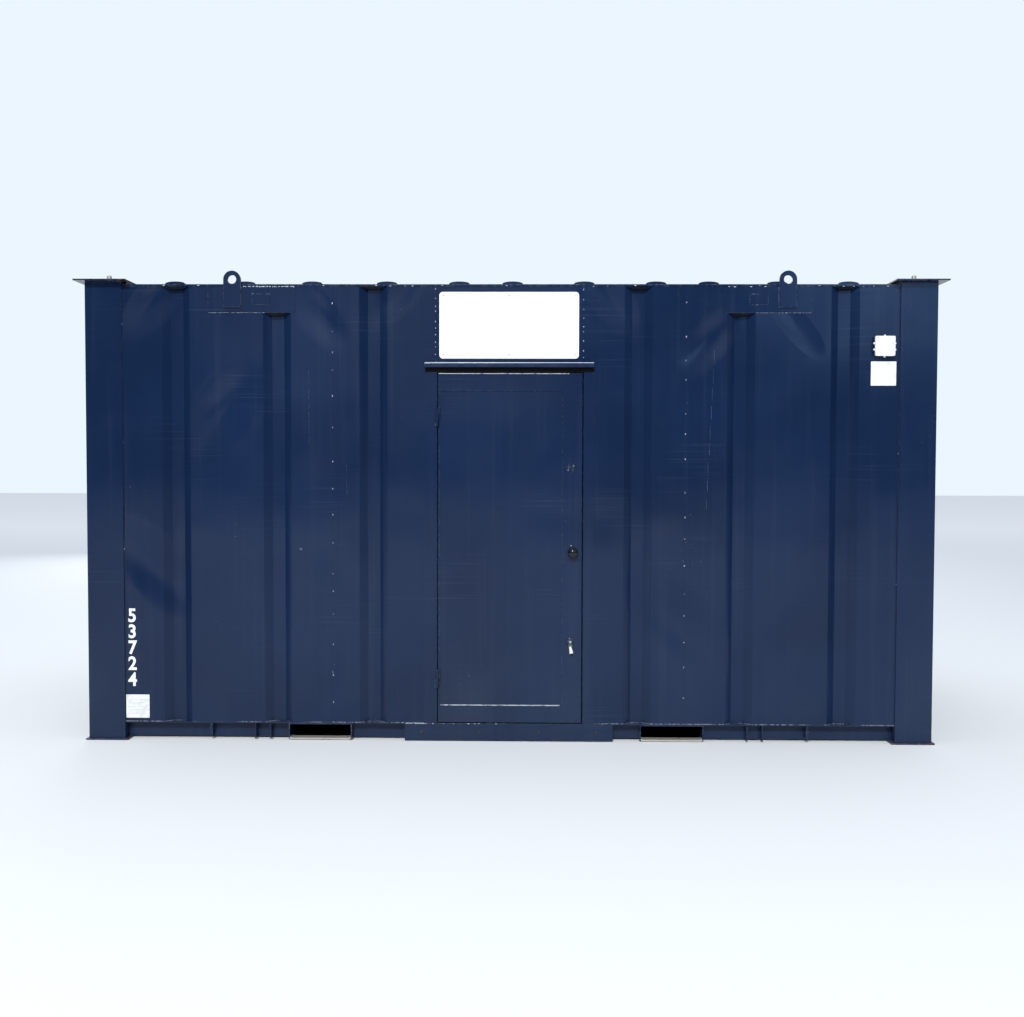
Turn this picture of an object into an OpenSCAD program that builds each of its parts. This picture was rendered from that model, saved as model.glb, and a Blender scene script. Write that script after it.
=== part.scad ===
// Portable steel site cabin with ribbed walls, one outward door, lifting eyes and fork pockets.
// Millimetres. The origin is at the centre of the footprint at ground level.
// The front faces -Y, +X is to the right as seen from the front, and +Z is up.

/* [Body] */
// Length over the corner posts
body_l = 4880; // [4000:10:6200]
// Width over the corner posts
body_w = 2440; // [1900:10:3000]
// Height from the ground to the upper faces of the top plates
body_h = 2659; // [2500:1:3200]
// Wall thickness, from the flat of the outer sheet to the room face of the lining
wall_t = 75; // [65:1:120]
// Thickness of the outer sheet
skin_t = 3; // [2:0.5:5]
// Thickness of the lining boards and the ceiling board
lining_t = 9; // [6:1:18]

/* [Corner posts] */
// Width of each leg of a post
post_leg = 210; // [150:1:240]
// How far a post stands proud of the wall flats
post_step = 12; // [6:1:20]
// Thickness of the folded post plate
post_t = 5; // [3:0.5:8]

/* [Corner plates] */
// Side of the square foot plates
foot_size = 250; // [220:1:300]
// How far a foot plate reaches past the post
foot_out = 15; // [5:1:40]
// Thickness of the foot plates
foot_t = 8; // [6:1:20]
// Side of the square top plates
top_size = 300; // [240:1:340]
// How far a top plate reaches past the post
top_out = 50; // [46:1:80]
// Thickness of the top plates
top_t = 8; // [6:1:20]
// Diameter of the stacking pins
pin_d = 28; // [20:1:40]
// Height of the stacking pins above the top plates
pin_h = 43; // [20:1:60]
// Diameter of the pin holes in the foot plates
pin_hole_d = 34; // [24:1:50]
// Distance of the pins and their holes from the outer faces of the post
pin_in = 105; // [80:1:125]

/* [Wall ribs] */
// Depth of the recessed ribs
rib_depth = 35; // [20:1:45]
// Width of a rib at the wall flat
rib_w = 162; // [120:1:180]
// Width of the floor of a rib
rib_floor = 70; // [40:1:100]
// Rib centres left of the door, from the middle of the front wall
left_ribs = [-1920, -1335, -780];
// Rib centres right of the door
right_ribs = [743, 1328, 1920];
// Distance of the outer ribs of the back wall from the corner
back_rib_in = 520; // [420:1:700]
// Number of ribs in the back wall
back_rib_count = 8; // [4:1:10]
// Number of ribs in each end wall
end_rib_count = 3; // [2:1:4]
// Distance between the ribs of an end wall
end_rib_pitch = 560; // [400:1:600]

/* [Roof] */
// Height of the roof flats below the upper faces of the top plates
roof_drop = 23; // [18:1:60]
// Thickness of the roof sheet
roof_t = 2; // [1:0.5:4]
// Height of the roof ribs
roof_rib_h = 20; // [12:1:22]
// Width of a roof rib at its foot
roof_rib_w = 130; // [90:1:160]
// Width of a roof rib at its crown
roof_rib_crown = 88; // [50:1:120]
// Roof rib centres, from the middle of the cabin
roof_ribs = [-1920, -1515, -1130, -700, -285, 20, 430, 840, 1140, 1530, 1935];
// Thickness of the lip that closes the wall tops
lip_t = 10; // [6:1:20]
// How far the lip stands proud of the wall flats
lip_out = 3; // [0:1:8]
// Height of the inner flange of the top rails
top_rail_h = 80; // [50:1:120]
// Gap between the ceiling board and the wall tops
ceiling_gap = 57; // [10:1:90]

/* [Base] */
// Height of the lower edge of the walls above the ground
wall_z = 104; // [95:1:160]
// Thickness of the sole plates under the walls
sole_t = 6; // [4:1:12]
// How far the base rails stand back from the wall flats
rail_set = 55; // [45:1:60]
// Thickness of the folded base rails
rail_t = 5; // [3:1:8]
// Width of the flanges of the base rails
rail_flange = 45; // [30:1:70]
// Thickness of the floor boards
floor_t = 18; // [12:1:28]
// Width of a floor joist
joist_w = 50; // [40:1:80]
// Number of places for floor joists along the cabin
joist_places = 9; // [5:1:11]
// Thickness of the gusset plates in front of the base rails
gusset_t = 6; // [4:1:12]
// Distance of each pair of gussets from the middle of the cabin
gusset_x = 1427; // [1360:1:1600]
// Distance between the two gussets of a pair
gusset_pitch = 88; // [60:1:120]
// Distance of the tie-down lugs from the middle of the cabin
lug_x = 1730; // [1680:1:1850]
// Thickness of the tie-down lugs
lug_t = 12; // [8:1:20]
// Diameter of the hole in a tie-down lug
lug_hole_d = 22; // [12:1:30]

/* [Fork pockets] */
// Clear width of a fork pocket
pocket_w = 357; // [300:1:400]
// Distance between the middles of the two pockets
pocket_pitch = 2040; // [1960:1:2100]
// How far the pair of pockets lies to the right of the cabin's middle
pocket_shift = -73; // [-75:1:0]
// Thickness of the pocket plates
pocket_t = 5; // [4:1:8]
// Height of the lower face of the straps above the ground
strap_z = 4; // [2:1:8]
// Thickness of the straps under the pocket mouths
strap_t = 12; // [8:1:16]
// Depth of the straps, from front to back
strap_d = 60; // [40:1:90]

/* [Lifting points] */
// Distance of the lifting eyes from the middle of the cabin
eye_x = 1588; // [1400:1:1640]
// Width of a lifting eye, and the diameter of its head
eye_w = 100; // [80:1:120]
// Thickness of a lifting eye
eye_t = 15; // [10:1:25]
// Diameter of the hole in a lifting eye
eye_hole_d = 50; // [30:1:60]
// Height of the hole's centre above the upper faces of the top plates
eye_up = 3; // [0:1:10]
// Length of a lifting eye below the centre of its hole
eye_drop = 155; // [120:1:180]
// Length of a header plate
header_l = 500; // [420:1:560]
// Height of a header plate
header_h = 150; // [120:1:180]
// Thickness of a header plate
header_t = 5; // [4:1:10]
// Distance of the header plates' middle from the middle of the cabin
header_x = 1480; // [1420:1:1520]
// Width of a cover plate on the header plates
cover_w = 105; // [80:1:130]
// Height of a cover plate
cover_h = 60; // [40:1:80]
// Thickness of a cover plate
cover_t = 4; // [2:1:8]
// Distance of the cover plates' middle from the middle of the cabin
cover_x = 1425; // [1400:1:1440]

/* [Doorway] */
// Left side of the door opening, from the middle of the cabin
door_left = -413; // [-420:1:-380]
// Width of the door opening
door_w = 843; // [800:1:900]
// Height of the door opening above the lower edge of the wall
door_h = 2032; // [1900:1:2050]
// Width of the hinge jamb
hinge_jamb_w = 75; // [60:1:90]
// Width of the lock jamb
lock_jamb_w = 63; // [55:1:90]
// Height of the door head
head_h = 54; // [50:1:80]
// Thickness of the jamb and head plates
jamb_t = 3; // [2:0.5:5]
// How far the jambs stand proud of the wall flats
jamb_out = 2; // [0:1:5]
// Width of the stop that the door closes against
stop_w = 15; // [10:1:25]
// Depth of the stop
stop_d = 23; // [18:1:25]
// How far each end of the drip hood stops short of the door frame
hood_in = 5.5; // [0:0.5:20]
// How far the drip hood reaches out from the door head
hood_out = 38; // [25:1:45]
// Height of the drip hood's front lip
hood_h = 29; // [20:1:35]
// Thickness of the drip hood
hood_t = 4; // [3:1:6]
// How far the sill plate reaches past the door frame at each side
sill_over = 112.5; // [60:0.5:140]
// Thickness of the sill plate
sill_t = 5; // [4:1:8]

/* [Door leaf] */
// Gap between the leaf and the hinge jamb
leaf_gap = 5; // [5:1:8]
// Gap between the leaf and the lock jamb, wider because the leaf swings past it
lock_gap = 8; // [8:1:12]
// Gap above and below the leaf
leaf_end_gap = 6; // [5:1:10]
// Thickness of the leaf
leaf_t = 44; // [38:1:50]
// How far the leaf's face stands back from the jamb faces
leaf_set = 4; // [2:1:6]
// Depth of the sunk panel in the leaf
panel_d = 5; // [3:1:10]
// Height of the leaf's top strip
panel_top = 102; // [60:1:160]
// Height of the leaf's bottom strip
panel_bottom = 101; // [60:1:160]
// Width of the strip on the lock side
panel_lock = 113; // [80:1:160]
// Width of the strip on the hinge side
panel_hinge = 10; // [8:1:60]
// Thickness of the sheet on the room side of the leaf
back_sheet_t = 2; // [1:0.5:3]
// Distance of the hinge axis in front of the jamb faces
hinge_out = 12; // [10:1:14]
// Diameter of the hinge knuckles
knuckle_d = 18; // [14:1:18]
// Diameter of the hinge pins
hinge_pin_d = 10; // [6:1:12]
// Radial clearance of the hinge pins
pin_gap = 0.1; // [0.02:0.01:0.1]
// Height of one hinge
hinge_h = 104; // [80:1:140]
// Vertical gap between the two knuckles of a hinge
knuckle_gap = 1; // [0.5:0.5:3]
// Heights of the hinges' middles above the door opening's foot
hinge_z = [262, 1774];
// Distance of the locks from the lock side of the leaf
lock_in = 64; // [50:1:80]
// Heights of the locks above the foot of the door opening
lock_z = [478, 1483];
// Diameter of a lock escutcheon
lock_d = 54; // [40:1:60]
// Height of the knob above the foot of the door opening
knob_z = 995; // [900:1:1100]
// Distance of the knob from the lock side of the leaf
knob_in = 51; // [45:1:70]
// Diameter of the knob
knob_d = 60; // [45:1:70]
// How far the knob stands out from the leaf
knob_out = 55; // [45:1:58]

/* [Signs and fittings] */
// Width of the sign board above the door
sign_w = 800; // [600:1:840]
// Height of the sign board
sign_h = 380; // [300:1:400]
// Height of the sign board's lower edge above the door head
sign_up = 23; // [10:1:40]
// Thickness of the sign board
sign_t = 4; // [2:1:6]
// Corner radius of the sign board
sign_r = 20; // [8:1:40]
// Side of the square power inlet box
inlet_size = 113; // [90:1:130]
// Depth of the power inlet box
inlet_d = 42; // [30:1:46]
// Distance of the inlet box's middle from the corner post
inlet_in = 94; // [85:1:100]
// Height of the inlet box's middle above the lower edge of the wall
inlet_z = 2180; // [1900:1:2250]
// Width of the plain plate below the inlet box
notice_w = 144; // [100:1:160]
// Height of the plain plate below the inlet box
notice_h = 138; // [100:1:160]
// Width and height of the data plate beside the left post
data_size = 136; // [100:1:150]
// Height of the data plate's lower edge above the lower edge of the wall
data_z = 22; // [10:1:60]
// Thickness of the two small plates
plate_t = 2; // [1:0.5:4]

/* [Hidden] */
$fn = 48;

// Main planes, measured from the middle of the cabin and from the ground
half_l = body_l / 2;
half_w = body_w / 2;
face_y = half_w - post_step;           // wall flats, front and back
face_x = half_l - post_step;           // wall flats, ends
inner_l = half_l - post_leg;           // posts' inner sides along the cabin
inner_w = half_w - post_leg;           // posts' inner sides across the cabin
room_x = face_x - wall_t;
room_y = face_y - wall_t;
plate_z = body_h - top_t;              // lower faces of the top plates
roof_z = body_h - roof_drop;           // roof flats
wall_top = roof_z - lip_t;
rail_top = wall_z - sole_t;
floor_z = rail_top + floor_t;
ceiling_z = wall_top - ceiling_gap - lining_t;
return_d = post_step + wall_t - lining_t;
eps = 0.5;                             // extra length of a cutting shape
seat_y = face_y + jamb_out;            // door jamb faces
door_right = door_left + door_w;
door_top = wall_z + door_h;
head_top = door_top + head_h;
frame_left = door_left - hinge_jamb_w;
frame_right = door_right + lock_jamb_w;
leaf_left = door_left + leaf_gap;
leaf_right = door_right - lock_gap;
leaf_y = seat_y - leaf_set;            // outer face of the leaf
leaf_bottom = wall_z + leaf_end_gap;
leaf_top = door_top - leaf_end_gap;
hinge_x = door_left + 2;
hinge_y = seat_y + hinge_out;
knuckle_h = (hinge_h - knuckle_gap) / 2;
lock_x = leaf_right - lock_in;
knob_x = leaf_right - knob_in;
eye_z = body_h + eye_up;
header_z = wall_top - header_h;
cover_z = header_z + (header_h - cover_h) / 2;
pocket_x = [pocket_shift - pocket_pitch / 2, pocket_shift + pocket_pitch / 2];
inlet_x = inner_l - inlet_in;

navy = [0.11, 0.18, 0.31];
timber = [0.62, 0.47, 0.30];
board = [0.88, 0.87, 0.83];

// Repeats its children at the front and, turned half round, at the back
module front_and_back() {
    children();
    rotate([0, 0, 180]) children();
}

// Repeats its children, drawn for the front left corner, at all four corners
module four_corners() {
    for (mx = [0, 1], my = [0, 1]) mirror([mx, 0, 0]) mirror([0, my, 0]) children();
}

// A box from its lowest to its highest corner
module block(low, high) {
    translate(low) cube(high - low);
}

// Extrudes a profile drawn across (x outwards from the wall flats, y up) along the X axis
module along_x(x0, x1) {
    translate([x0, 0, 0]) rotate([90, 0, 90]) linear_extrude(x1 - x0) children();
}

// Outline of a ribbed sheet: the ribs sink by depth below the line from x0 to x1
function rib_line(x0, x1, ribs, w, foot, depth) = concat(
    [[x0, 0]],
    [for (c = ribs) each [[c - w / 2, 0], [c - foot / 2, depth], [c + foot / 2, depth], [c + w / 2, 0]]],
    [[x1, 0]]
);

function reversed(list) = [for (i = [len(list) - 1:-1:0]) list[i]];

module ribbed_outline(x0, x1, ribs, w, foot, depth, t) {
    line = rib_line(x0, x1, ribs, w, foot, depth);
    polygon(concat(line, reversed([for (p = line) p + [0, t]])));
}

// Ribs that fit between two ends with a margin of flat sheet
function fitting(ribs, x0, x1, w) = [for (c = ribs) if (c - w > x0 && c + w < x1) c];

// A ribbed wall sheet drawn for the front, from x0 to x1
module wall_sheet(x0, x1, ribs) {
    translate([0, -face_y, wall_z]) linear_extrude(wall_top - wall_z)
        ribbed_outline(x0, x1, fitting(ribs, x0, x1, rib_w / 2 + 20), rib_w, rib_floor, rib_depth, skin_t);
}

// A rectangle with round corners
module round_rect(w, h, r) {
    square([w - 2 * r, h], center = true);
    square([w, h - 2 * r], center = true);
    for (sx = [-1, 1], sy = [-1, 1]) translate([sx * (w / 2 - r), sy * (h / 2 - r)]) circle(r);
}

// A flat plate on the front wall: its middle at x and z, its back face at y
module front_plate(x, z, y, w, h, t, r) {
    translate([x, -y, z]) rotate([90, 0, 0]) linear_extrude(t) round_rect(w, h, r);
}

// Folded section of the front left corner post
module post_outline() {
    translate([-half_l, -half_w]) {
        square([post_leg, post_t]);
        square([post_t, post_leg]);
        translate([post_leg - post_t, 0]) square([post_t, return_d]);
        translate([0, post_leg - post_t]) square([return_d, post_t]);
    }
}

module corner_posts() {
    color(navy) four_corners() translate([0, 0, foot_t]) linear_extrude(plate_z - foot_t) post_outline();
}

module foot_plates() {
    color(navy) four_corners() difference() {
        block([-half_l - foot_out, -half_w - foot_out, 0],
              [-half_l - foot_out + foot_size, -half_w - foot_out + foot_size, foot_t]);
        translate([-half_l + pin_in, -half_w + pin_in, -eps]) cylinder(h = foot_t + 2 * eps, d = pin_hole_d);
    }
}

module top_plates() {
    color(navy) four_corners() block(
        [-half_l - top_out, -half_w - top_out, plate_z],
        [-half_l - top_out + top_size, -half_w - top_out + top_size, body_h]);
}

module stacking_pins() {
    chamfer = pin_d / 7;
    color([0.45, 0.44, 0.42]) four_corners() translate([-half_l + pin_in, -half_w + pin_in, body_h]) {
        cylinder(h = pin_h - chamfer, d = pin_d);
        translate([0, 0, pin_h - chamfer]) cylinder(h = chamfer, d1 = pin_d, d2 = pin_d - 2 * chamfer);
    }
}

// Folded channel with its back outwards, drawn for the front
module rail_outline(set) {
    translate([-face_y + set, foot_t]) {
        square([rail_t, rail_top - foot_t]);
        square([rail_flange, rail_t]);
        translate([0, rail_top - foot_t - rail_t]) square([rail_flange, rail_t]);
    }
}

// Base rail pieces between the posts, stopped at the fork pockets
module base_rail(pockets) {
    stops = concat(
        [-inner_l],
        [for (x = pockets) each [x - pocket_w / 2 - pocket_t, x + pocket_w / 2 + pocket_t]],
        [inner_l]
    );
    for (i = [0:2:len(stops) - 2]) along_x(stops[i], stops[i + 1]) rail_outline(rail_set);
}

module long_rails() {
    color(navy) {
        base_rail(pocket_x);
        rotate([0, 0, 180]) base_rail([-pocket_x[1], -pocket_x[0]]);
    }
}

module end_rails() {
    color(navy) for (a = [90, 270]) rotate([0, 0, a])
        translate([0, face_y - face_x, 0]) along_x(-inner_w, inner_w) rail_outline(rail_set);
}

module sole_plates() {
    color(navy) {
        front_and_back() block([-inner_l, -face_y, rail_top], [inner_l, -room_y, wall_z]);
        for (a = [0, 180]) rotate([0, 0, a])
            block([-face_x, -inner_w, rail_top], [-room_x, inner_w, wall_z]);
    }
}

// Joists stand where no fork pocket passes
module floor_joists() {
    pitch = 2 * room_x / (joist_places + 1);
    reach = pocket_w / 2 + pocket_t + joist_w / 2 + 5;
    back_of_rail = face_y - rail_set - rail_flange;
    color(navy) for (i = [1:joist_places]) let (x = -room_x + i * pitch)
        if (abs(x - pocket_x[0]) > reach && abs(x - pocket_x[1]) > reach)
            block([x - joist_w / 2, -back_of_rail, foot_t], [x + joist_w / 2, back_of_rail, rail_top]);
}

module floor_boards() {
    color(timber) block([-room_x, -room_y, rail_top], [room_x, room_y, floor_z]);
}

module fork_pocket_sides() {
    color(navy) for (x = pocket_x, side = [-1, 1]) {
        inner = x + side * pocket_w / 2;
        outer = inner + side * pocket_t;
        block([min(inner, outer), -face_y, foot_t], [max(inner, outer), face_y, rail_top]);
    }
}

module fork_pocket_tops() {
    color(navy) for (x = pocket_x)
        block([x - pocket_w / 2, -face_y, rail_top - pocket_t], [x + pocket_w / 2, face_y, rail_top]);
}

module fork_pocket_straps() {
    color([0.42, 0.38, 0.34]) for (x = pocket_x, end = [0, 1]) mirror([0, end, 0])
        block([x - pocket_w / 2, -face_y, strap_z], [x + pocket_w / 2, -face_y + strap_d, strap_z + strap_t]);
}

module gusset_plates() {
    color(navy) front_and_back() for (side = [-1, 1], step = [-0.5, 0.5]) {
        x = side * gusset_x + step * gusset_pitch;
        block([x - gusset_t / 2, -face_y, foot_t], [x + gusset_t / 2, -face_y + rail_set, rail_top]);
    }
}

module tie_down_lugs() {
    drop = 80;
    margin = 4;
    color(navy) front_and_back() for (side = [-1, 1]) difference() {
        block([side * lug_x - lug_t / 2, -face_y + margin, rail_top - drop],
              [side * lug_x + lug_t / 2, -face_y + rail_set, rail_top]);
        translate([side * lug_x - lug_t / 2 - eps, -face_y + (rail_set + margin) / 2, rail_top - drop * 0.62])
            rotate([0, 90, 0]) cylinder(h = lug_t + 2 * eps, d = lug_hole_d);
    }
}

module front_wall_left() {
    color(navy) difference() {
        wall_sheet(-inner_l, door_left, left_ribs);
        block([frame_left, -face_y - eps, wall_z - eps], [door_left + eps, -room_y, head_top]);
    }
}

module front_wall_right() {
    color(navy) difference() {
        wall_sheet(door_right, inner_l, right_ribs);
        block([door_right - eps, -face_y - eps, wall_z - eps], [frame_right, -room_y, head_top]);
    }
}

module over_door_panel() {
    color(navy) block([door_left, -face_y, head_top], [door_right, -face_y + skin_t, wall_top]);
}

module back_wall() {
    pitch = 2 * (half_l - back_rib_in) / (back_rib_count - 1);
    ribs = [for (i = [0:back_rib_count - 1]) -half_l + back_rib_in + i * pitch];
    color(navy) rotate([0, 0, 180]) wall_sheet(-inner_l, inner_l, ribs);
}

module end_walls() {
    ribs = [for (i = [0:end_rib_count - 1]) (i - (end_rib_count - 1) / 2) * end_rib_pitch];
    color(navy) for (a = [90, 270]) rotate([0, 0, a])
        translate([0, face_y - face_x, 0]) wall_sheet(-inner_w, inner_w, ribs);
}

// A lining board behind the front wall
module front_board(x0, x1, z0) {
    block([x0, -room_y - lining_t, z0], [x1, -room_y, ceiling_z + lining_t]);
}

module front_linings() {
    color(board) {
        front_board(-room_x, frame_left, wall_z);
        front_board(frame_right, room_x, wall_z);
    }
}

module over_door_lining() {
    color(board) front_board(frame_left, frame_right, head_top);
}

module back_lining() {
    color(board) rotate([0, 0, 180]) front_board(-room_x, room_x, wall_z);
}

module end_linings() {
    color(board) for (side = [0, 1]) mirror([side, 0, 0])
        block([-room_x - lining_t, -room_y - lining_t, wall_z], [-room_x, room_y + lining_t, ceiling_z + lining_t]);
}

module ceiling_board() {
    color(board) block([-room_x, -room_y, ceiling_z], [room_x, room_y, ceiling_z + lining_t]);
}

// Lip over the wall top with a flange that hangs behind the wall sheet, drawn for the front
module top_rail_outline() {
    flange_in = rib_depth + skin_t + 12;
    translate([-face_y, wall_top]) {
        translate([-lip_out, 0]) square([lip_out + wall_t - lining_t, lip_t]);
        translate([flange_in, -top_rail_h]) square([rail_t, top_rail_h]);
    }
}

module top_rails() {
    color(navy) {
        front_and_back() along_x(-inner_l, inner_l) top_rail_outline();
        for (a = [90, 270]) rotate([0, 0, a])
            translate([0, face_y - face_x, 0]) along_x(-inner_w, inner_w) top_rail_outline();
    }
}

// The roof ribs run from front to back and are closed at both ends
module roof_sheet() {
    ribs = fitting(roof_ribs, -inner_l, inner_l, roof_rib_w / 2 + 10);
    cap_t = 3;
    color(navy) difference() {
        translate([0, face_y, roof_z]) rotate([90, 0, 0]) {
            linear_extrude(2 * face_y)
                ribbed_outline(-face_x, face_x, ribs, roof_rib_w, roof_rib_crown, roof_rib_h - roof_t, roof_t);
            for (c = ribs, end = [0, 2 * face_y - cap_t]) translate([0, 0, end]) linear_extrude(cap_t)
                polygon([[c - roof_rib_w / 2, 0], [c - roof_rib_crown / 2, roof_rib_h - roof_t],
                         [c + roof_rib_crown / 2, roof_rib_h - roof_t], [c + roof_rib_w / 2, 0]]);
        }
        four_corners() translate([0, 0, roof_z - eps]) linear_extrude(roof_rib_h) post_outline();
    }
}

module header_plates() {
    color(navy) front_and_back() for (side = [-1, 1])
        block([side * header_x - header_l / 2, -face_y - header_t, header_z],
              [side * header_x + header_l / 2, -face_y, wall_top - lip_out]);
}

module lifting_eyes() {
    back = face_y + header_t;
    color(navy) front_and_back() for (side = [-1, 1])
        translate([side * eye_x, -back, eye_z]) rotate([90, 0, 0]) difference() {
            union() {
                cylinder(h = eye_t, d = eye_w);
                translate([-eye_w / 2, -eye_drop, 0]) cube([eye_w, eye_drop, eye_t]);
            }
            translate([0, 0, -eps]) cylinder(h = eye_t + 2 * eps, d = eye_hole_d);
        }
}

module cover_plates() {
    color(navy) front_and_back() for (side = [-1, 1])
        block([side * cover_x - cover_w / 2, -face_y - header_t - cover_t, cover_z],
              [side * cover_x + cover_w / 2, -face_y - header_t, cover_z + cover_h]);
}

// Hollow section of a jamb or head, from its lowest to its highest corner
module hollow_outline(low, high) {
    difference() {
        translate(low) square(high - low);
        translate(low + [jamb_t, jamb_t]) square(high - low - [2 * jamb_t, 2 * jamb_t]);
    }
}

module door_jambs() {
    color(navy) translate([0, 0, wall_z]) linear_extrude(door_h) {
        hollow_outline([frame_left, -seat_y], [door_left, -room_y]);
        hollow_outline([door_right, -seat_y], [frame_right, -room_y]);
    }
}

module door_head() {
    color(navy) along_x(frame_left, frame_right) hollow_outline([-seat_y, door_top], [-room_y, head_top]);
}

// Bars behind the leaf, at both sides and across the top
module door_stops() {
    back = -room_y - stop_d;
    joint = 0.5;
    color(navy) {
        block([door_left, back, wall_z], [door_left + stop_w, -room_y, door_top]);
        block([door_right - stop_w, back, wall_z], [door_right, -room_y, door_top]);
        block([door_left + stop_w + joint, back, door_top - stop_w],
              [door_right - stop_w - joint, -room_y, door_top]);
    }
}

module door_threshold() {
    color([0.55, 0.55, 0.54])
        block([door_left + stop_w, -room_y - stop_d, wall_z], [door_right - stop_w, -room_y, floor_z]);
}

module drip_hood() {
    color(navy) along_x(frame_left + hood_in, frame_right - hood_in) translate([-seat_y - hood_out, head_top]) {
        translate([0, -hood_t]) square([hood_out, hood_t]);
        translate([0, -hood_h]) square([hood_t, hood_h]);
    }
}

// Plate with two end returns that reach the base rail
module sill_plate() {
    left = max(frame_left - sill_over, pocket_x[0] + pocket_w / 2 + pocket_t);
    right = min(frame_right + sill_over, pocket_x[1] - pocket_w / 2 - pocket_t);
    color(navy) {
        block([left, -face_y - sill_t, strap_z], [right, -face_y, wall_z]);
        for (x = [left, right - sill_t])
            block([x, -face_y, foot_t], [x + sill_t, -face_y + rail_set, rail_top]);
    }
}

// Lower knuckle of each hinge, with the pin, welded to the jamb
module frame_hinge_knuckles() {
    color(navy) for (z = hinge_z) translate([hinge_x, -hinge_y, wall_z + z - hinge_h / 2]) {
        cylinder(h = knuckle_h, d = knuckle_d);
        cylinder(h = hinge_h - 6, d = hinge_pin_d);
        translate([-14, 0, 0]) cube([14 + door_left - hinge_x, hinge_out, knuckle_h]);
    }
}

// Upper knuckle of each hinge, welded to the leaf
module door_hinge_knuckles() {
    lug_w = 12;
    color(navy) for (z = hinge_z) translate([hinge_x, -hinge_y, wall_z + z + hinge_h / 2 - knuckle_h])
        difference() {
            union() {
                cylinder(h = knuckle_h, d = knuckle_d);
                translate([leaf_left - hinge_x, 0, 0]) cube([lug_w, hinge_y - leaf_y, knuckle_h]);
                cube([leaf_left - hinge_x + eps, knuckle_d / 2 - 1, knuckle_h]);
            }
            translate([0, 0, -eps]) cylinder(h = knuckle_h - 4, d = hinge_pin_d + 2 * pin_gap);
        }
}

module sign_board() {
    color([0.94, 0.94, 0.93])
        front_plate((door_left + door_right) / 2 - 8, head_top + sign_up + sign_h / 2, face_y,
                    sign_w, sign_h, sign_t, sign_r);
}

// Box with a raised lid and blanked cable entries on its sides
module power_inlet_box() {
    lid_t = 8;
    entry_d = 22;
    entry_h = 7;
    spread = inlet_size / 3.4;
    color([0.90, 0.90, 0.88]) {
        front_plate(inlet_x, wall_z + inlet_z, face_y, inlet_size, inlet_size, inlet_d - lid_t, 9);
        front_plate(inlet_x, wall_z + inlet_z, face_y + inlet_d - lid_t, inlet_size - 6, inlet_size - 6, lid_t, 8);
        translate([inlet_x, -face_y - inlet_d / 2, wall_z + inlet_z]) {
            for (a = [0, 90, 180, 270], step = [-0.5, 0.5]) rotate([0, a, 0])
                translate([step * spread, 0, inlet_size / 2]) cylinder(h = entry_h, d1 = entry_d, d2 = entry_d - 6);
        }
    }
}

// The plain plate below the inlet box and the data plate beside the left post
module small_plates() {
    corner_r = 3;
    notice_top = wall_z + inlet_z - inlet_size / 2 - 28;
    color([0.80, 0.81, 0.79]) {
        front_plate(inlet_x + 3, notice_top - notice_h / 2, face_y, notice_w, notice_h, plate_t, corner_r);
        front_plate(-inner_l + 4 + data_size / 2, wall_z + data_z + data_size / 2, face_y,
                    data_size, data_size, plate_t, corner_r);
    }
}

module door_leaf() {
    color(navy) difference() {
        block([leaf_left, -leaf_y, leaf_bottom], [leaf_right, -leaf_y + leaf_t - back_sheet_t, leaf_top]);
        block([leaf_left + panel_hinge, -leaf_y - eps, leaf_bottom + panel_bottom],
              [leaf_right - panel_lock, -leaf_y + panel_d, leaf_top - panel_top]);
    }
}

module door_back_sheet() {
    color(navy) block([leaf_left, -leaf_y + leaf_t - back_sheet_t, leaf_bottom],
                      [leaf_right, -leaf_y + leaf_t, leaf_top]);
}

// Round knob on a short neck and a rose
module door_knob() {
    rose_t = 5;
    neck_r = knob_d / 5;
    ball_r = knob_d / 2;
    ball_at = knob_out - ball_r * 0.8;
    color([0.10, 0.14, 0.22]) translate([knob_x, -leaf_y, wall_z + knob_z]) rotate([90, 0, 0]) {
        cylinder(h = rose_t, d = knob_d * 0.75);
        cylinder(h = ball_at, r = neck_r);
        intersection() {
            translate([0, 0, ball_at]) sphere(ball_r);
            translate([0, 0, ball_at - ball_r * 0.7]) cylinder(h = ball_r * 1.5, r = ball_r + 1);
        }
    }
}

module lock_escutcheons() {
    rim_t = 4;
    core_t = 8;
    color([0.20, 0.22, 0.26]) for (z = lock_z) translate([lock_x, -leaf_y, wall_z + z]) rotate([90, 0, 0]) {
        cylinder(h = rim_t, d = lock_d);
        cylinder(h = core_t, d = lock_d * 0.5);
    }
}

// Key in the lower lock with a ring and a hanging tag
module lock_key_and_tag() {
    core_t = 8;
    key_t = 2.5;
    bow_d = 24;
    shank = 7;
    ring_r = 12;
    tag_w = 24;
    tag_h = 44;
    color([0.75, 0.74, 0.70]) translate([lock_x, -leaf_y - core_t, wall_z + lock_z[0]]) {
        translate([-key_t / 2, -shank - 1, -4]) cube([key_t, shank + 1, 8]);
        translate([-key_t / 2, -shank - bow_d / 2, 0]) rotate([0, 90, 0]) cylinder(h = key_t, d = bow_d);
        translate([0, -shank - bow_d / 2, -bow_d / 2 - ring_r + 5])
            rotate([90, 0, 0]) rotate_extrude() translate([ring_r, 0]) circle(1.2);
        translate([-tag_w / 2, -shank - bow_d / 2 - 1, -bow_d / 2 - 2 * ring_r + 8 - tag_h])
            cube([tag_w, 2, tag_h]);
    }
}

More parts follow.
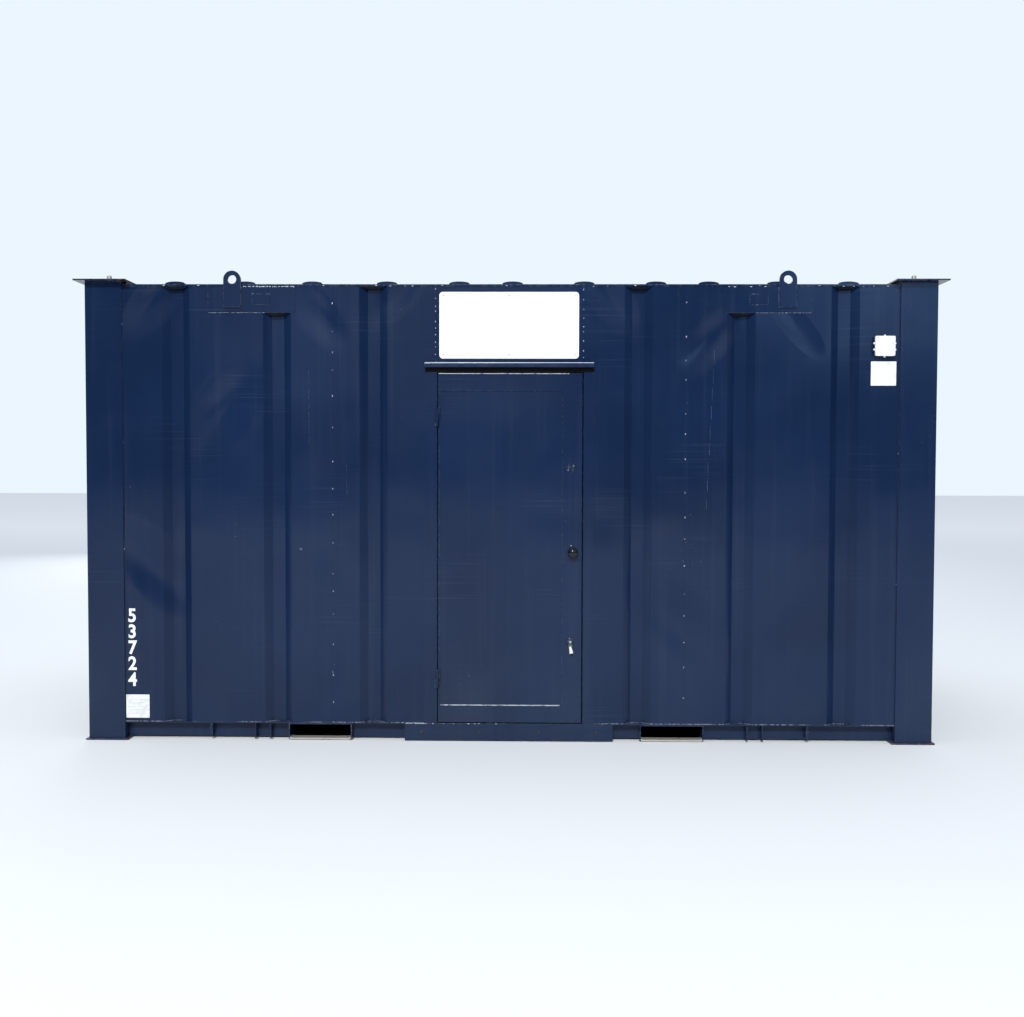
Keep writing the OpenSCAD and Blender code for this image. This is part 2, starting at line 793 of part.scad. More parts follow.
foot_plates();
corner_posts();
top_plates();
stacking_pins();
long_rails();
end_rails();
sole_plates();
floor_joists();
floor_boards();
fork_pocket_sides();
fork_pocket_tops();
fork_pocket_straps();
gusset_plates();
tie_down_lugs();
front_wall_left();
front_wall_right();
over_door_panel();
back_wall();
end_walls();
front_linings();
over_door_lining();
back_lining();
end_linings();
ceiling_board();
top_rails();
roof_sheet();
header_plates();
lifting_eyes();
cover_plates();
door_jambs();
door_head();
door_stops();
door_threshold();
drip_hood();
sill_plate();
frame_hinge_knuckles();
sign_board();
power_inlet_box();
small_plates();
door_leaf();
door_back_sheet();
door_hinge_knuckles();
door_knob();
lock_escutcheons();
lock_key_and_tag();
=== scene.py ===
import math
import random

import bmesh
import bpy
from mathutils import Matrix, Vector


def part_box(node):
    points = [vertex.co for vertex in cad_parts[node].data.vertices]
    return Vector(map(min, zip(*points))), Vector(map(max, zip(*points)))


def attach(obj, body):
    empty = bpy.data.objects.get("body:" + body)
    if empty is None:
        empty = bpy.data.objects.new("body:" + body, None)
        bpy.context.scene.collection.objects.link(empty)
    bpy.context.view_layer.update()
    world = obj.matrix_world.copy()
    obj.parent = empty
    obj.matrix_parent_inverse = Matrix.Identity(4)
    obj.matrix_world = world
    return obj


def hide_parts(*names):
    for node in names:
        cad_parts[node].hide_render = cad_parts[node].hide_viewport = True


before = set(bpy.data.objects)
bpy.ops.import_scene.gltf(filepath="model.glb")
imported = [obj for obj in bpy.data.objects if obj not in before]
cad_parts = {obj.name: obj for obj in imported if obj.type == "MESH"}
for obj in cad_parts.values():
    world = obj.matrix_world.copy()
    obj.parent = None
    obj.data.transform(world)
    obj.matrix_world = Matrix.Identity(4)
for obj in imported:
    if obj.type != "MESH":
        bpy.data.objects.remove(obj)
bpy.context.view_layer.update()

dice = random.Random(23)
forward = (0, -1, 0)
fourWays = ((1, 1), (1, -1), (-1, 1), (-1, -1))
print("frame in:", len(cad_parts), "nodes")


# camera

cameraLook = {"side": 0.1196, "stepBack": 6.5, "eye": 1.5868, "yaw": -0.880, "pitch": 2.056, "roll": 0.1437,
              "lens": 39.75, "sensor": 36.0, "reach": 200}


def addCamera(look):
    data = bpy.data.cameras.new("camera")
    data.lens = look["lens"]
    data.sensor_width = look["sensor"]
    data.clip_end = look["reach"]
    camera = bpy.data.objects.new("camera", data)
    turn = Matrix.Rotation(-math.radians(look["yaw"]), 4, "Z")
    tilt = Matrix.Rotation(math.radians(90 - look["pitch"]), 4, "X")
    roll = Matrix.Rotation(math.radians(look["roll"]), 4, "Z")
    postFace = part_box("corner_posts")[0].y
    place = Matrix.Translation((look["side"], postFace - look["stepBack"], look["eye"]))
    camera.matrix_world = place @ turn @ tilt @ roll
    bpy.context.scene.collection.objects.link(camera)
    bpy.context.scene.camera = camera


addCamera(cameraLook)
print("camera set")


# node helpers

def newFinish(name):
    finish = bpy.data.materials.new(name)
    finish.use_nodes = True
    return finish, finish.node_tree, finish.node_tree.nodes["Principled BSDF"]


def fillIn(node, inputs):
    # a socket is linked, anything else is set
    for key, value in inputs.items():
        if isinstance(value, bpy.types.NodeSocket):
            node.id_data.links.new(value, node.inputs[key])
        else:
            node.inputs[key].default_value = value


def addNode(tree, kind, inputs=None, **settings):
    made = tree.nodes.new("ShaderNode" + kind)
    for key, value in settings.items():
        setattr(made, key, value)
    fillIn(made, inputs or {})
    return made


def spot(tree):
    # X, Y and Z of the shaded spot
    where = addNode(tree, "TexCoord").outputs["Object"]
    return addNode(tree, "SeparateXYZ", {"Vector": where}).outputs


def clouds(tree, size, detail=2.0, stretch=(1, 1, 1), seed=0.0):
    # soft random value, size is one cloud in metres before the stretch
    where = addNode(tree, "TexCoord").outputs["Object"]
    scale = [1 / (size * s) for s in stretch]
    shift = (seed, seed * 0.7, seed * 0.3)
    placed = addNode(tree, "Mapping", {"Vector": where, "Location": shift, "Scale": scale})
    inputs = {"Vector": placed.outputs["Vector"], "Scale": 1.0, "Detail": detail}
    return addNode(tree, "TexNoise", inputs).outputs["Fac"]


def fade(tree, value, start, end, low=0.0, high=1.0):
    inputs = {"Value": value, "From Min": start, "From Max": end, "To Min": low, "To Max": high}
    return addNode(tree, "MapRange", inputs, interpolation_type="SMOOTHSTEP").outputs["Result"]


def patchy(tree, look, share=1.0):
    # clouds that fade in between the two limits of their cover
    value = clouds(tree, look["size"], look.get("detail", 2.0), look.get("stretch", (1, 1, 1)),
                   look.get("seed", 0.0))
    return fade(tree, value, *look["cover"], *look.get("between", (0.0, share)))


def maths(tree, operation, *values):
    return addNode(tree, "Math", dict(enumerate(values)), operation=operation).outputs[0]


def times(tree, first, second):
    return maths(tree, "MULTIPLY", first, second)


def most(tree, first, second):
    return maths(tree, "MAXIMUM", first, second)


def band(tree, value, low, high, soft):
    rise = fade(tree, value, low - soft, low)
    fall = fade(tree, value, high, high + soft, 1.0, 0.0)
    return times(tree, rise, fall)


def mixColors(tree, share, first, second):
    inputs = {0: share}
    for key, color in ((6, first), (7, second)):
        inputs[key] = color if isinstance(color, bpy.types.NodeSocket) else (*color, 1)
    return addNode(tree, "Mix", inputs, data_type="RGBA").outputs[2]


def mixValues(tree, share, first, second):
    return addNode(tree, "Mix", {0: share, 2: first, 3: second}, data_type="FLOAT").outputs[0]


def softNormal(tree, radius):
    return addNode(tree, "Bevel", {"Radius": radius}, samples=6).outputs["Normal"]


def wornEdges(tree, radius, start, end):
    # 1 along edges, where a rounded normal leaves the flat one
    flat = addNode(tree, "NewGeometry").outputs["Normal"]
    pair = {0: softNormal(tree, radius), 1: flat}
    same = addNode(tree, "VectorMath", pair, operation="DOT_PRODUCT").outputs["Value"]
    return fade(tree, same, end, start, 1.0, 0.0)


def bump(tree, rise, distance, strength, normal=None):
    inputs = {"Height": rise, "Distance": distance, "Strength": strength}
    if normal is not None:
        inputs["Normal"] = normal
    return addNode(tree, "Bump", inputs).outputs["Normal"]


# floor, lights and air

groundLooks = {
    "floor": {"half": (60.0, 60.0), "lift": 0.0, "color": (0.86, 0.86, 0.855), "rough": 0.9, "gloss": 0.5,
              "far": (3.0, 24.0), "glow": 0.30},
    # painted shadow: a dark sheet on the floor under the cabin, where the cabin's shade falls
    "shade": {"half": (2.38, 1.13), "lift": 0.0008, "color": (0.006, 0.006, 0.006), "rough": 1.0,
              "gloss": 0.0},
}
lightLook = {
    "key": {"place": (-3.2, -26.0, 19.5), "size": 3.0, "power": 8500, "color": (0.97, 0.975, 0.955)},
    "fill": {"place": (-2.0, -13.0, 5.2), "size": 6.0, "power": 90, "color": (0.82, 0.90, 1.0)},
    "top": {"place": (0.0, 1.5, 9.0), "size": 9.0, "power": 110, "color": (0.93, 0.97, 1.0)},
    "glow": {"place": (5.7, -13.0, 4.7), "size": 2.8, "power": 66, "color": (0.45, 0.68, 1.0)},
    "back": {"place": (-3.0, 12.0, 6.0), "size": 9.0, "power": 440, "color": (0.93, 0.97, 1.0)},
}
lightAim = Vector((0, -0.6, 1.2))
airLook = {"seen": (0.83, 0.92, 1.0), "low": (0.09, 0.11, 0.14), "high": (0.44, 0.51, 0.62),
           "rise": (0.13, 0.30)}


def meshObject(name, bm, finish):
    data = bpy.data.meshes.new(name)
    bm.to_mesh(data)
    bm.free()
    data.materials.append(finish)
    made = bpy.data.objects.new(name, data)
    bpy.context.scene.collection.objects.link(made)
    return made


def addGround(name, look):
    finish, tree, shader = newFinish(name)
    color = (*look["color"], 1)
    fillIn(shader, {"Base Color": color, "Roughness": look["rough"], "Specular IOR Level": look["gloss"]})
    if "glow" in look:
        # the lamps don't reach the far floor, so it glows a little to stay pale
        glow = fade(tree, spot(tree)["Y"], *look["far"], 0.0, look["glow"])
        fillIn(shader, {"Emission Strength": glow, "Emission Color": color})
    bm = bmesh.new()
    place = Matrix.Translation((0, 0, look["lift"])) @ Matrix.Diagonal((*look["half"], 1, 1))
    bmesh.ops.create_grid(bm, x_segments=1, y_segments=1, size=1.0, matrix=place)
    meshObject(name, bm, finish)


def addLight(name, look):
    data = bpy.data.lights.new(name, "AREA")
    data.energy = look["power"]
    data.size = look["size"]
    data.color = look["color"]
    lamp = bpy.data.objects.new(name, data)
    place = Vector(look["place"])
    turn = (lightAim - place).to_track_quat("-Z", "Y").to_matrix().to_4x4()
    lamp.matrix_world = Matrix.Translation(place) @ turn
    bpy.context.scene.collection.objects.link(lamp)


def addAir(look):
    # pale behind the cabin; for lighting it is dark along the horizon and open above
    air = bpy.data.worlds.new("air")
    air.use_nodes = True
    tree = air.node_tree
    sky = tree.nodes["Background"]
    direction = addNode(tree, "TexCoord").outputs["Generated"]
    rise = addNode(tree, "SeparateXYZ", {"Vector": direction}).outputs["Z"]
    fillIn(sky, {"Color": mixColors(tree, fade(tree, rise, *look["rise"]), look["low"], look["high"])})
    backdrop = addNode(tree, "Background", {"Color": (*look["seen"], 1)})
    seen = addNode(tree, "LightPath").outputs["Is Camera Ray"]
    choice = addNode(tree, "MixShader", {0: seen, 1: sky.outputs[0], 2: backdrop.outputs[0]})
    fillIn(tree.nodes["World Output"], {"Surface": choice.outputs["Shader"]})
    bpy.context.scene.world = air


for name, look in groundLooks.items():
    addGround(name, look)
for name, look in lightLook.items():
    addLight(name, look)
addAir(airLook)
bpy.context.scene.view_settings.view_transform = "Standard"
print("floor and lights set")


# navy paint on folded sheet and sections

navyLook = {"deep": (0.0042, 0.0134, 0.0435), "light": (0.0057, 0.0172, 0.0545),
            "dust": (0.075, 0.095, 0.125),
            "scratch": (0.080, 0.110, 0.170), "bare": (0.27, 0.29, 0.32), "rust": (0.11, 0.045, 0.02),
            "gloss": 0.20, "dull": 0.62, "metal": 0.6, "dustTop": (0.05, 1.05), "facingUp": (0.6, 0.9),
            "round": 0.0018, "edge": 0.003, "edgeTurn": (0.985, 0.90), "bandSoft": 0.001}
paintLayers = {
    "tone": {"size": 0.85, "detail": 3.0, "cover": (0.35, 0.65)},
    "streaks": {"size": 0.035, "stretch": (1, 1, 40), "seed": 3.1, "cover": (0.52, 0.75),
                "between": (0.0, 0.045)},
    "film": {"size": 0.30, "detail": 4.0, "stretch": (1, 1, 1.6), "seed": 7.7, "cover": (0.25, 0.75),
             "between": (0.45, 1.0)},
    "puddles": {"size": 0.35, "detail": 5.0, "seed": 2.9, "cover": (0.30, 0.70), "between": (0.60, 1.0)},
    "lines": {"size": 0.0045, "stretch": (170, 170, 1), "seed": 1.9, "cover": (0.58, 0.74)},
    "lineAreas": {"size": 0.30, "detail": 1.0, "stretch": (1.6, 1.6, 1), "seed": 5.3, "cover": (0.50, 0.70),
                  "between": (0.0, 0.55)},
    "chips": {"size": 0.012, "seed": 9.2, "cover": (0.745, 0.76)},
    "chipAreas": {"size": 0.40, "detail": 1.0, "seed": 2.4, "cover": (0.62, 0.68)},
    "wear": {"size": 0.020, "detail": 5.0, "seed": 4.4, "cover": (0.48, 0.58)},
    "flakeAreas": {"size": 0.20, "seed": 6.1, "cover": (0.38, 0.52)},
    "flakes": {"size": 0.011, "detail": 4.0, "seed": 3.6, "cover": (0.40, 0.54)},
    "rust": {"size": 0.06, "detail": 6.0, "seed": 8.8, "cover": (0.50, 0.66)},
    "sheen": {"size": 0.18, "detail": 4.0, "seed": 0.6, "cover": (0.3, 0.7), "between": (0.13, 0.18)},
}
paintKinds = {
    "wall": {"oilCan": 0.008, "dust": 0.10, "scratches": 0.34, "chips": 0.5,
             "bands": [(0.1042, 0.1078, 0.85)]},
    "roof": {"oilCan": 0.006, "dust": 0.0, "scratches": 0.2, "wear": 0.25, "chips": 0.3, "rust": 0.10,
             "topDust": 0.42},
    "section": {"oilCan": 0.003, "dust": 0.14, "scratches": 0.35, "wear": 0.15, "chips": 0.4,
                "topDust": 0.3},
    "leaf": {"oilCan": 0.006, "dust": 0.20, "scratches": 0.40, "wear": 0.25, "chips": 0.4},
    "edge": {"dust": 0.12, "scratches": 0.4, "wear": 0.7, "chips": 0.6, "topDust": 0.2},
    "plate": {"dust": 0.15, "scratches": 0.4, "wear": 0.7, "chips": 0.8, "rust": 0.65, "topDust": 0.4},
}
# each hollow has its X, its Z, its reach and the side that it leans to
dishLook = {"depth": 0.015, "lean": 0.55, "squeeze": 1.5, "places": [
    (-2.05, 2.53, 0.25, 1), (-1.10, 2.47, 0.25, -1), (-0.64, 2.60, 0.25, 1), (0.56, 2.58, 0.25, -1),
    (1.15, 2.32, 0.26, 1), (1.60, 2.47, 0.28, -1), (1.85, 2.85, 0.80, 1), (-1.62, 1.95, 0.36, 1),
    (0.98, 0.70, 0.40, -1), (-2.05, 1.00, 0.34, -1)]}


def dishes(tree, look):
    # shallow leaning hollows that the sheet took where it was welded in
    where = spot(tree)
    total = None
    for x, z, reach, side in look["places"]:
        rise = maths(tree, "SUBTRACT", where["Z"], z)
        slant = times(tree, rise, side * look["lean"])
        off = maths(tree, "SUBTRACT", maths(tree, "SUBTRACT", where["X"], x), slant)
        place = addNode(tree, "CombineXYZ", {"X": times(tree, off, look["squeeze"]), "Z": rise})
        gap = addNode(tree, "VectorMath", {0: place.outputs["Vector"]}, operation="LENGTH")
        hollow = fade(tree, gap.outputs["Value"], 0.0, reach, 1.0, 0.0)
        total = hollow if total is None else most(tree, total, hollow)
    return total


def facingUp(tree):
    normal = addNode(tree, "NewGeometry").outputs["Normal"]
    rise = addNode(tree, "SeparateXYZ", {"Vector": normal}).outputs["Z"]
    return fade(tree, rise, *navyLook["facingUp"])


def navyPaint(kind):
    look = paintKinds[kind]
    finish, tree, shader = newFinish("navy_" + kind)
    level = spot(tree)["Z"]
    color = mixColors(tree, patchy(tree, paintLayers["tone"]), navyLook["deep"], navyLook["light"])
    color = mixColors(tree, patchy(tree, paintLayers["streaks"]), color, navyLook["dust"])
    low = fade(tree, level, *navyLook["dustTop"], 1.0, 0.0)
    dust = times(tree, times(tree, low, patchy(tree, paintLayers["film"])), look["dust"])
    if "topDust" in look:
        settled = times(tree, facingUp(tree), patchy(tree, paintLayers["puddles"]))
        dust = most(tree, dust, times(tree, settled, look["topDust"]))
    color = mixColors(tree, dust, color, navyLook["dust"])
    scratches = times(tree, patchy(tree, paintLayers["lines"]), patchy(tree, paintLayers["lineAreas"]))
    color = mixColors(tree, times(tree, scratches, look["scratches"]), color, navyLook["scratch"])
    chips = patchy(tree, paintLayers["chips"])
    bare = times(tree, chips, patchy(tree, paintLayers["chipAreas"], look["chips"]))
    if "wear" in look:
        edges = wornEdges(tree, navyLook["edge"], *navyLook["edgeTurn"])
        bare = most(tree, bare, times(tree, edges, patchy(tree, paintLayers["wear"], look["wear"])))
    for bottom, top, share in look.get("bands", []):
        flakes = times(tree, patchy(tree, paintLayers["flakeAreas"]),
                       patchy(tree, paintLayers["flakes"], share))
        bare = most(tree, bare, times(tree, band(tree, level, bottom, top, navyLook["bandSoft"]), flakes))
    color = mixColors(tree, bare, color, navyLook["bare"])
    if "rust" in look:
        color = mixColors(tree, patchy(tree, paintLayers["rust"], look["rust"]), color, navyLook["rust"])
    normal = softNormal(tree, navyLook["round"])
    if "oilCan" in look:
        normal = bump(tree, clouds(tree, 0.48, 0.5, (1, 1, 0.8), 1.3), look["oilCan"], 1.0, normal)
    if kind == "wall":
        normal = bump(tree, dishes(tree, dishLook), -dishLook["depth"], 1.0, normal)
    normal = bump(tree, clouds(tree, 0.0022), 0.00012, 0.3, normal)
    rough = mixValues(tree, most(tree, dust, bare), patchy(tree, paintLayers["sheen"]), navyLook["dull"])
    fillIn(shader, {"Base Color": color, "Roughness": rough,
                    "Metallic": times(tree, bare, navyLook["metal"]),
                    "Specular IOR Level": navyLook["gloss"], "Normal": normal})
    return finish


navy = {kind: navyPaint(kind) for kind in paintKinds}
nodePaint = {
    "wall": ["front_wall_left", "front_wall_right", "over_door_panel", "back_wall", "end_walls"],
    "roof": ["roof_sheet"],
    "section": ["corner_posts", "long_rails", "end_rails", "sole_plates", "floor_joists",
                "fork_pocket_tops", "header_plates", "door_jambs", "door_head", "door_stops", "sill_plate",
                "gusset_plates"],
    "leaf": ["door_leaf", "door_back_sheet"],
    "edge": ["top_rails", "lifting_eyes", "cover_plates", "tie_down_lugs", "fork_pocket_sides",
             "frame_hinge_knuckles", "door_hinge_knuckles"],
    "plate": ["foot_plates", "top_plates"],
}


def paintNodes(nodes, finish):
    for node in nodes:
        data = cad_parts[node].data
        data.materials.clear()
        data.materials.append(finish)


for kind, nodes in nodePaint.items():
    paintNodes(nodes, navy[kind])
print("navy paint on")


# the other finishes

plainDirt = {"detail": 5.0, "stretch": (1, 1, 3), "seed": 5.5, "cover": (0.50, 0.72)}


def plainFinish(name, look):
    # one colour with a second, blotched one over it, roughness that follows, and a fine grain
    finish, tree, shader = newFinish(name)
    blotch = patchy(tree, {"detail": 4.0, "seed": 1.0, **look})
    color = mixColors(tree, blotch, look["color"], look["second"])
    if "dirt" in look:
        dirt = patchy(tree, {"size": look["size"] * 2.3, **plainDirt}, look["dirt"])
        color = mixColors(tree, dirt, color, look.get("dirtColor", (0.10, 0.085, 0.065)))
    grain = clouds(tree, look.get("grain", 0.003), 3.0, seed=2.2)
    normal = bump(tree, grain, look.get("grainDepth", 0.0001), 0.5,
                  softNormal(tree, look.get("round", 0.0008)))
    fillIn(shader, {"Base Color": color, "Roughness": mixValues(tree, blotch, *look["rough"]),
                    "Metallic": look.get("metal", 0.0), "Specular IOR Level": look.get("gloss", 0.4),
                    "Normal": normal})
    return finish


finishLooks = {
    "paleWeld": {"color": (0.34, 0.37, 0.42), "second": (0.03, 0.05, 0.10), "size": 0.014,
                 "cover": (0.50, 0.66), "rough": (0.45, 0.30), "metal": 0.35, "grain": 0.002,
                 "grainDepth": 0.0004},
    "navyWeld": {"color": (0.012, 0.026, 0.072), "second": (0.30, 0.32, 0.35), "size": 0.022,
                 "cover": (0.64, 0.70), "rough": (0.28, 0.45), "grain": 0.002, "grainDepth": 0.0004},
    "navyTrim": {"color": (0.005, 0.015, 0.048), "second": (0.007, 0.019, 0.058), "size": 0.05,
                 "cover": (0.40, 0.60), "rough": (0.20, 0.27), "dirt": 0.05, "gloss": 0.22},
    "flaked": {"color": (0.46, 0.49, 0.54), "second": (0.05, 0.07, 0.12), "size": 0.009,
               "cover": (0.51, 0.68), "stretch": (2.5, 1, 1), "rough": (0.42, 0.30), "metal": 0.2,
               "grain": 0.0015},
    # painted highlight: pale blue like the sky caught in the fold of the hood
    "rim": {"color": (0.42, 0.50, 0.62), "second": (0.20, 0.27, 0.40), "size": 0.05, "cover": (0.55, 0.75),
            "stretch": (4, 1, 1), "rough": (0.25, 0.30), "grain": 0.002},
    "boltDark": {"color": (0.010, 0.014, 0.028), "second": (0.10, 0.06, 0.035), "size": 0.006,
                 "cover": (0.50, 0.66), "rough": (0.40, 0.75), "grain": 0.001},
    "markPale": {"color": (0.070, 0.10, 0.16), "second": (0.02, 0.035, 0.08), "size": 0.04,
                 "cover": (0.45, 0.62), "rough": (0.40, 0.35), "grain": 0.002},
    "wornSteel": {"color": (0.48, 0.46, 0.42), "second": (0.14, 0.095, 0.065), "size": 0.030,
                  "cover": (0.56, 0.74), "rough": (0.42, 0.75), "metal": 0.45, "grain": 0.0012,
                  "grainDepth": 0.0003, "stretch": (2, 1, 1)},
    "zinc": {"color": (0.52, 0.53, 0.54), "second": (0.24, 0.23, 0.21), "size": 0.006,
             "cover": (0.45, 0.70), "rough": (0.32, 0.55), "metal": 0.9, "grain": 0.0008},
    "signWhite": {"color": (0.84, 0.86, 0.88), "second": (0.76, 0.78, 0.80), "size": 0.12,
                  "cover": (0.45, 0.75), "rough": (0.25, 0.38), "dirt": 0.10,
                  "dirtColor": (0.45, 0.43, 0.38), "grainDepth": 0.00003},
    "boxPlastic": {"color": (0.82, 0.82, 0.80), "second": (0.72, 0.72, 0.69), "size": 0.03,
                   "cover": (0.45, 0.70), "rough": (0.40, 0.55), "dirt": 0.22,
                   "dirtColor": (0.42, 0.39, 0.33), "grain": 0.0010, "grainDepth": 0.00012,
                   "round": 0.0012},
    "platePaint": {"color": (0.78, 0.79, 0.77), "second": (0.66, 0.67, 0.65), "size": 0.025,
                   "cover": (0.45, 0.70), "rough": (0.35, 0.55), "dirt": 0.22,
                   "dirtColor": (0.40, 0.37, 0.31)},
    "plateRule": {"color": (0.36, 0.37, 0.37), "second": (0.60, 0.61, 0.60), "size": 0.010,
                  "cover": (0.45, 0.60), "rough": (0.5, 0.5)},
    "knobGloss": {"color": (0.003, 0.005, 0.010), "second": (0.008, 0.012, 0.022), "size": 0.012,
                  "gloss": 0.40, "cover": (0.50, 0.80), "rough": (0.10, 0.18), "grainDepth": 0.00002},
    "lockMetal": {"color": (0.60, 0.59, 0.56), "second": (0.30, 0.28, 0.25), "size": 0.006,
                  "cover": (0.50, 0.72), "rough": (0.22, 0.45), "metal": 0.95, "grain": 0.0008},
    "tagPlastic": {"color": (0.80, 0.80, 0.76), "second": (0.66, 0.65, 0.60), "size": 0.008,
                   "cover": (0.50, 0.75), "rough": (0.35, 0.5), "dirt": 0.25},
    "numberWhite": {"color": (0.82, 0.83, 0.84), "second": (0.62, 0.65, 0.69), "size": 0.02,
                    "cover": (0.55, 0.72), "rough": (0.35, 0.5), "dirt": 0.12},
    # black rubber for the door seal; the same finish is painted shade in the rib tops, under the hood and
    # in the keyways
    "rubber_and_painted_shade": {"color": (0.0030, 0.0032, 0.0040), "second": (0.007, 0.007, 0.008), "size": 0.02,
               "cover": (0.45, 0.75), "rough": (0.60, 0.75), "grain": 0.001, "gloss": 0.08},
    # painted shade for the grooves where the walls meet their posts
    "joint_shade": {"color": (0.006, 0.012, 0.030), "second": (0.016, 0.026, 0.052), "size": 0.03,
                "cover": (0.45, 0.70), "rough": (0.40, 0.55), "grain": 0.004, "grainDepth": 0.0003},
    "treadMetal": {"color": (0.52, 0.52, 0.51), "second": (0.30, 0.29, 0.27), "size": 0.020,
                   "stretch": (4, 1, 1), "cover": (0.45, 0.70), "rough": (0.35, 0.55), "metal": 0.9,
                   "dirt": 0.35, "grain": 0.0008},
    "lining": {"color": (0.74, 0.73, 0.69), "second": (0.68, 0.67, 0.62), "size": 0.45,
               "cover": (0.40, 0.70), "rough": (0.38, 0.48), "dirt": 0.10,
               "dirtColor": (0.42, 0.38, 0.31), "grain": 0.004},
    "trimStrip": {"color": (0.70, 0.69, 0.66), "second": (0.62, 0.61, 0.57), "size": 0.10,
                  "cover": (0.45, 0.70), "rough": (0.30, 0.42)},
}
finishes = {name: plainFinish(name, look) for name, look in finishLooks.items()}

plyLook = {"light": (0.40, 0.26, 0.14), "dark": (0.25, 0.15, 0.075), "joint": (0.05, 0.03, 0.018),
           "scuff": (0.20, 0.17, 0.14), "boards": 1.22, "gap": 0.0015, "rough": (0.42, 0.70),
           "scuffs": {"size": 0.16, "detail": 6.0, "seed": 6.6, "cover": (0.50, 0.75)}}


def plyFloor(look):
    # boards side by side along the cabin, with a joint down the middle
    finish, tree, shader = newFinish("plyFloor")
    rings = clouds(tree, 0.012, 4.0, (26, 1.6, 1), 3.3)
    color = mixColors(tree, fade(tree, rings, 0.32, 0.68), look["light"], look["dark"])
    scuffs = patchy(tree, look["scuffs"], 0.45)
    color = mixColors(tree, scuffs, color, look["scuff"])
    where = spot(tree)
    gaps = [fade(tree, off, 0.0, look["gap"] * 2, 1.0, 0.0)
            for off in (maths(tree, "PINGPONG", where["X"], look["boards"]),
                        maths(tree, "ABSOLUTE", where["Y"]))]
    joints = most(tree, *gaps)
    normal = bump(tree, joints, -0.001, 1.0, bump(tree, rings, 0.0002, 0.5))
    fillIn(shader, {"Base Color": mixColors(tree, joints, color, look["joint"]),
                    "Roughness": mixValues(tree, scuffs, *look["rough"]), "Normal": normal})
    return finish


nodeFinish = {
    "lining": ["front_linings", "over_door_lining", "back_lining", "end_linings", "ceiling_board"],
    "signWhite": ["sign_board"],
    "platePaint": ["small_plates"],
    "treadMetal": ["door_threshold"],
}
for name, nodes in nodeFinish.items():
    paintNodes(nodes, finishes[name])
paintNodes(["floor_boards"], plyFloor(plyLook))
print("other finishes on")


# making pieces

def addPiece(name, bm, finish, body="cabin", replaces=()):
    bmesh.ops.recalc_face_normals(bm, faces=bm.faces)
    piece = meshObject(name, bm, finish)
    piece.data.shade_smooth()
    piece.data.set_sharp_from_angle(angle=math.radians(35))
    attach(piece, body)
    if replaces:
        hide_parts(*replaces)


def roundOff(bm, edges, offset, segments):
    bmesh.ops.bevel(bm, geom=edges, offset=offset, offset_type="OFFSET", affect="EDGES", segments=segments,
                    profile=0.5, material=-1)


def addBlock(bm, low, high, edge=0.0, segments=2):
    low, high = Vector(low), Vector(high)
    place = Matrix.Translation((low + high) / 2) @ Matrix.Diagonal((*(high - low), 1))
    corners = bmesh.ops.create_cube(bm, size=1, matrix=place)["verts"]
    if edge:
        roundOff(bm, list({e for corner in corners for e in corner.link_edges}), edge, segments)


def facing(centre, out, up=(0, 0, 1)):
    # a place whose Z looks along out
    out = Vector(out).normalized()
    side = Vector(up).cross(out).normalized()
    return Matrix.Translation(centre) @ Matrix((side, out.cross(side), out)).transposed().to_4x4()


def turnRound(bm, section, place, steps, before):
    # a full turn about Z, then everything made since before goes to its place
    bmesh.ops.spin(bm, geom=section, cent=(0, 0, 0), axis=(0, 0, 1), angle=math.tau, steps=steps,
                   use_merge=True)
    bmesh.ops.remove_doubles(bm, verts=[v for v in bm.verts if v not in before], dist=1e-6)
    bmesh.ops.transform(bm, matrix=place, verts=[v for v in bm.verts if v not in before])


def addLathe(bm, profile, place, steps=24):
    # profile points are radius and height along the place's Z
    before = set(bm.verts)
    ring = [bm.verts.new((radius, 0, rise)) for radius, rise in profile]
    edges = [bm.edges.new(pair) for pair in zip(ring, ring[1:])]
    turnRound(bm, ring + edges, place, steps, before)


def addScrew(bm, centre, out, radius, rise=0.0016, slotted=True):
    # low domed head, with a cross cut by two sunk bars
    profile = [(0, rise), (radius * 0.55, rise * 0.92), (radius * 0.85, rise * 0.6), (radius, rise * 0.1),
               (radius, -0.0005)]
    addLathe(bm, profile, facing(centre, out), 14)
    if slotted:
        place = facing(centre, out) @ Matrix.Rotation(dice.uniform(0, math.pi), 4, "Z")
        size = Matrix.Diagonal((radius * 1.3, radius * 0.18, rise * 0.5, 1))
        bar = Matrix.Translation((0, 0, rise)) @ size
        for turn in (0, math.pi / 2):
            bmesh.ops.create_cube(bm, size=1, matrix=place @ Matrix.Rotation(turn, 4, "Z") @ bar)


def joinInto(bm, part):
    data = bpy.data.meshes.new("part")
    part.to_mesh(data)
    part.free()
    bm.from_mesh(data)
    bpy.data.meshes.remove(data)


def vertsIn(made):
    return [g for g in made if isinstance(g, bmesh.types.BMVert)]


def repeatAtBack(bm):
    copied = bmesh.ops.duplicate(bm, geom=bm.verts[:] + bm.edges[:] + bm.faces[:])["geom"]
    bmesh.ops.rotate(bm, cent=(0, 0, 0), matrix=Matrix.Rotation(math.pi, 3, "Z"), verts=vertsIn(copied))


def addPrism(bm, outline, near, deep):
    # outline points are X and Z, near is their Y
    face = bm.faces.new([bm.verts.new((x, near, z)) for x, z in outline])
    swept = bmesh.ops.extrude_face_region(bm, geom=[face])["geom"]
    bmesh.ops.translate(bm, vec=(0, deep, 0), verts=vertsIn(swept))


def lineTo(bm, point, place):
    point = bmesh.ops.extrude_vert_indiv(bm, verts=[point])["verts"][0]
    point.co = place
    return point


def bendBy(bm, point, centre, axis, steps):
    # a quarter turn
    turned = bmesh.ops.spin(bm, geom=[point], cent=centre, axis=axis, angle=math.pi / 2, steps=steps)
    return vertsIn(turned["geom_last"])[0]


